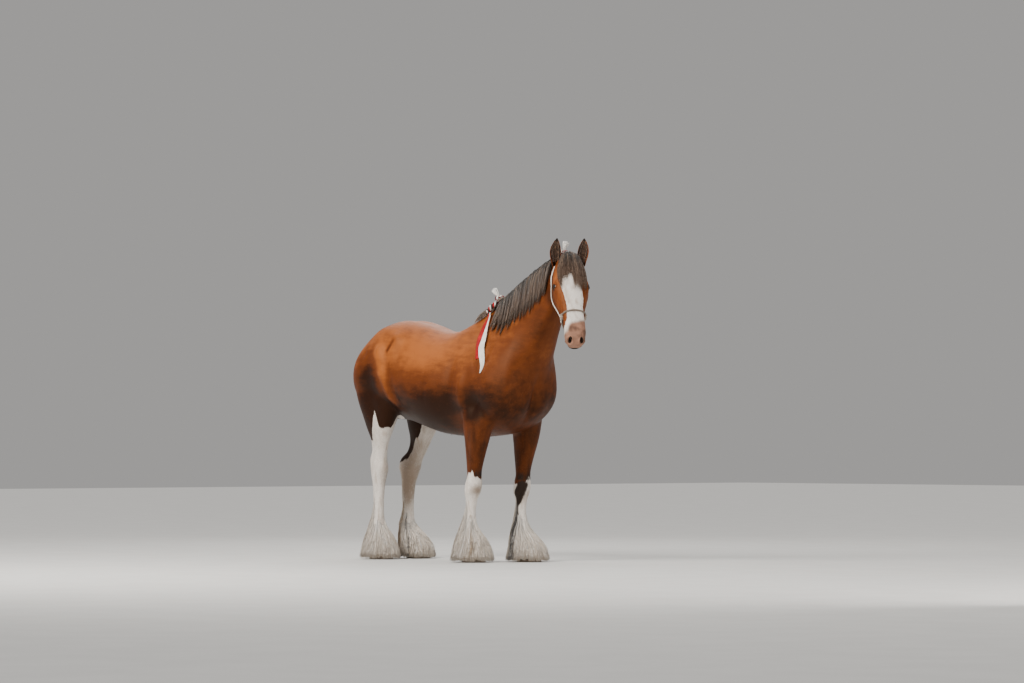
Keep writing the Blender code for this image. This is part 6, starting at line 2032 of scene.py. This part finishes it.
def dress_hair(hair, rng):
    dress(make_mane(rng), hair["mane_hair"], slot="dark_hair")
    dress(make_withers_hair(rng), hair["withers_hair"], slot="dark_hair")
    dress(make_forelock(rng), hair["forelock_hair"], slot="dark_hair")
    for leg in LEGS:
        dress(make_feather(leg, rng), hair["feather_hair"], slot="white_coat")
        core = make_feather_core(leg)
        give_uv(core)
        dress(core, hair["feather_hair"], slot="white_coat")
    dress(make_dock(), dock_material(), slot="dark_hair")
    dress(make_tail_hair(rng), hair["mane_hair"], "tail", slot="dark_hair")


def dress_hooves():
    horn = horn_material()
    for leg in LEGS:
        dress(make_hoof(leg), horn, "hoof_" + leg, slot="hoof_horn")


def dress_head(coat, fluff, rng):
    wet = eye_material()
    for side, word in SIDES.items():
        shell = make_ear_shell(side)
        give_uv(shell)
        dress(shell, coat, "ear_" + word, slot="bay_coat")
        dress(make_ear_hair(side, rng), fluff, slot="dark_hair")
        dress(make_eye(side), wet, "eye_" + word, slot="eye")


def dress_halter(skin):
    trees = [tree_of(skin)]
    dress(make_cheek_strap(trees), strap_material(), "halter_crown", slot="white_strap")
    rope, line_axes = make_nose_rope(trees)
    dress(rope, rope_material(), "halter_noseband", slot="grey_rope")
    dress(make_knots(line_axes), knot_material(), slot="grey_rope")
    metal = metal_material()
    for side, word in SIDES.items():
        ring = make_cheek_ring("cheek_ring_" + word, trees, side)
        dress(ring, metal, "halter_ring_" + word, slot="ring_metal")


# Ties of the braid's end and of the poll: way up and out of the bow, its size and how far it
# sits below its node's middle, the lean of the bristles, their length and spread.
TIES = {
    "mane": ((0.1, -0.2, 1.0), (0.5, -0.8, 0.1), 0.044, 0.0, (-0.75, -0.1, 0.8), (0.086, 0.023)),
    "poll": ((0.0, 0.0, 1.0), (0.6, -0.8, 0.0), 0.038, 0.014, (0.25, 0.16, 1.0), (0.076, 0.024)),
}


def dress_tie(word, red, pale, bristle, rng):
    """A red bow with a smaller white one behind it, and the bristles that stand in them."""
    way, out, size, drop, lean, brush = TIES[word]
    low, high = (np.array(corner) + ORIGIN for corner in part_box(word + "_bow"))
    middle = (low + high) / 2 - (0, 0, drop)
    dress(make_bow(word + "_bow_red", middle, way, out, size), red, word + "_bow",
          slot="red_ribbon")
    dress(make_bow(word + "_bow_white", middle + (0.0, 0.0, 0.003), way,
                   np.array(out) + (0.5, 0.9, 0.0), size * 0.8), pale, slot="white_ribbon")
    dress(make_brush(word + "_bristles", middle, lean, *brush, rng), bristle, word + "_plume",
          slot="white_ribbon")


def dress_ribbons(skin, hair, rng):
    red = cloth_material("ribbon_red_weave", (0.46, 0.006, 0.01), (0.26, 0.004, 0.006))
    pale = cloth_material("ribbon_white_weave", (0.86, 0.83, 0.79), (0.72, 0.68, 0.63))
    plaits = make_plait()
    dress(plaits[0], red, "mane_braid", slot="red_ribbon")
    dress(plaits[1], pale, slot="white_ribbon")
    dress(plaits[2], hair["mane_hair"], slot="dark_hair")
    even = np.full(len(plaits[2].data.vertices), 0.3)
    give_values(plaits[2].data, {"pick": even, "tip": even})
    ribbon = ribbon_sheet("ribbon_hung_red", RED_RIBBON, skin, 0.0)
    dress(ribbon, red, "ribbon_red", slot="red_ribbon")
    ribbon = ribbon_sheet("ribbon_hung_white", WHITE_RIBBON, skin, 1.5)
    dress(ribbon, pale, "ribbon_white", slot="white_ribbon")
    for word in TIES:
        dress_tie(word, red, pale, hair["bristle"], rng)


def main():
    make_camera()
    make_light()
    make_floor()
    rng = np.random.default_rng(7)
    coat = coat_material()
    hair = {name: hair_material(name, *look) for name, look in HAIR_LOOKS.items()}
    skin = dress_skin(coat, rng)
    dress_hair(hair, rng)
    dress_hooves()
    dress_head(coat, hair["ear_fluff"], rng)
    dress_halter(skin)
    dress_ribbons(skin, hair, rng)


main()
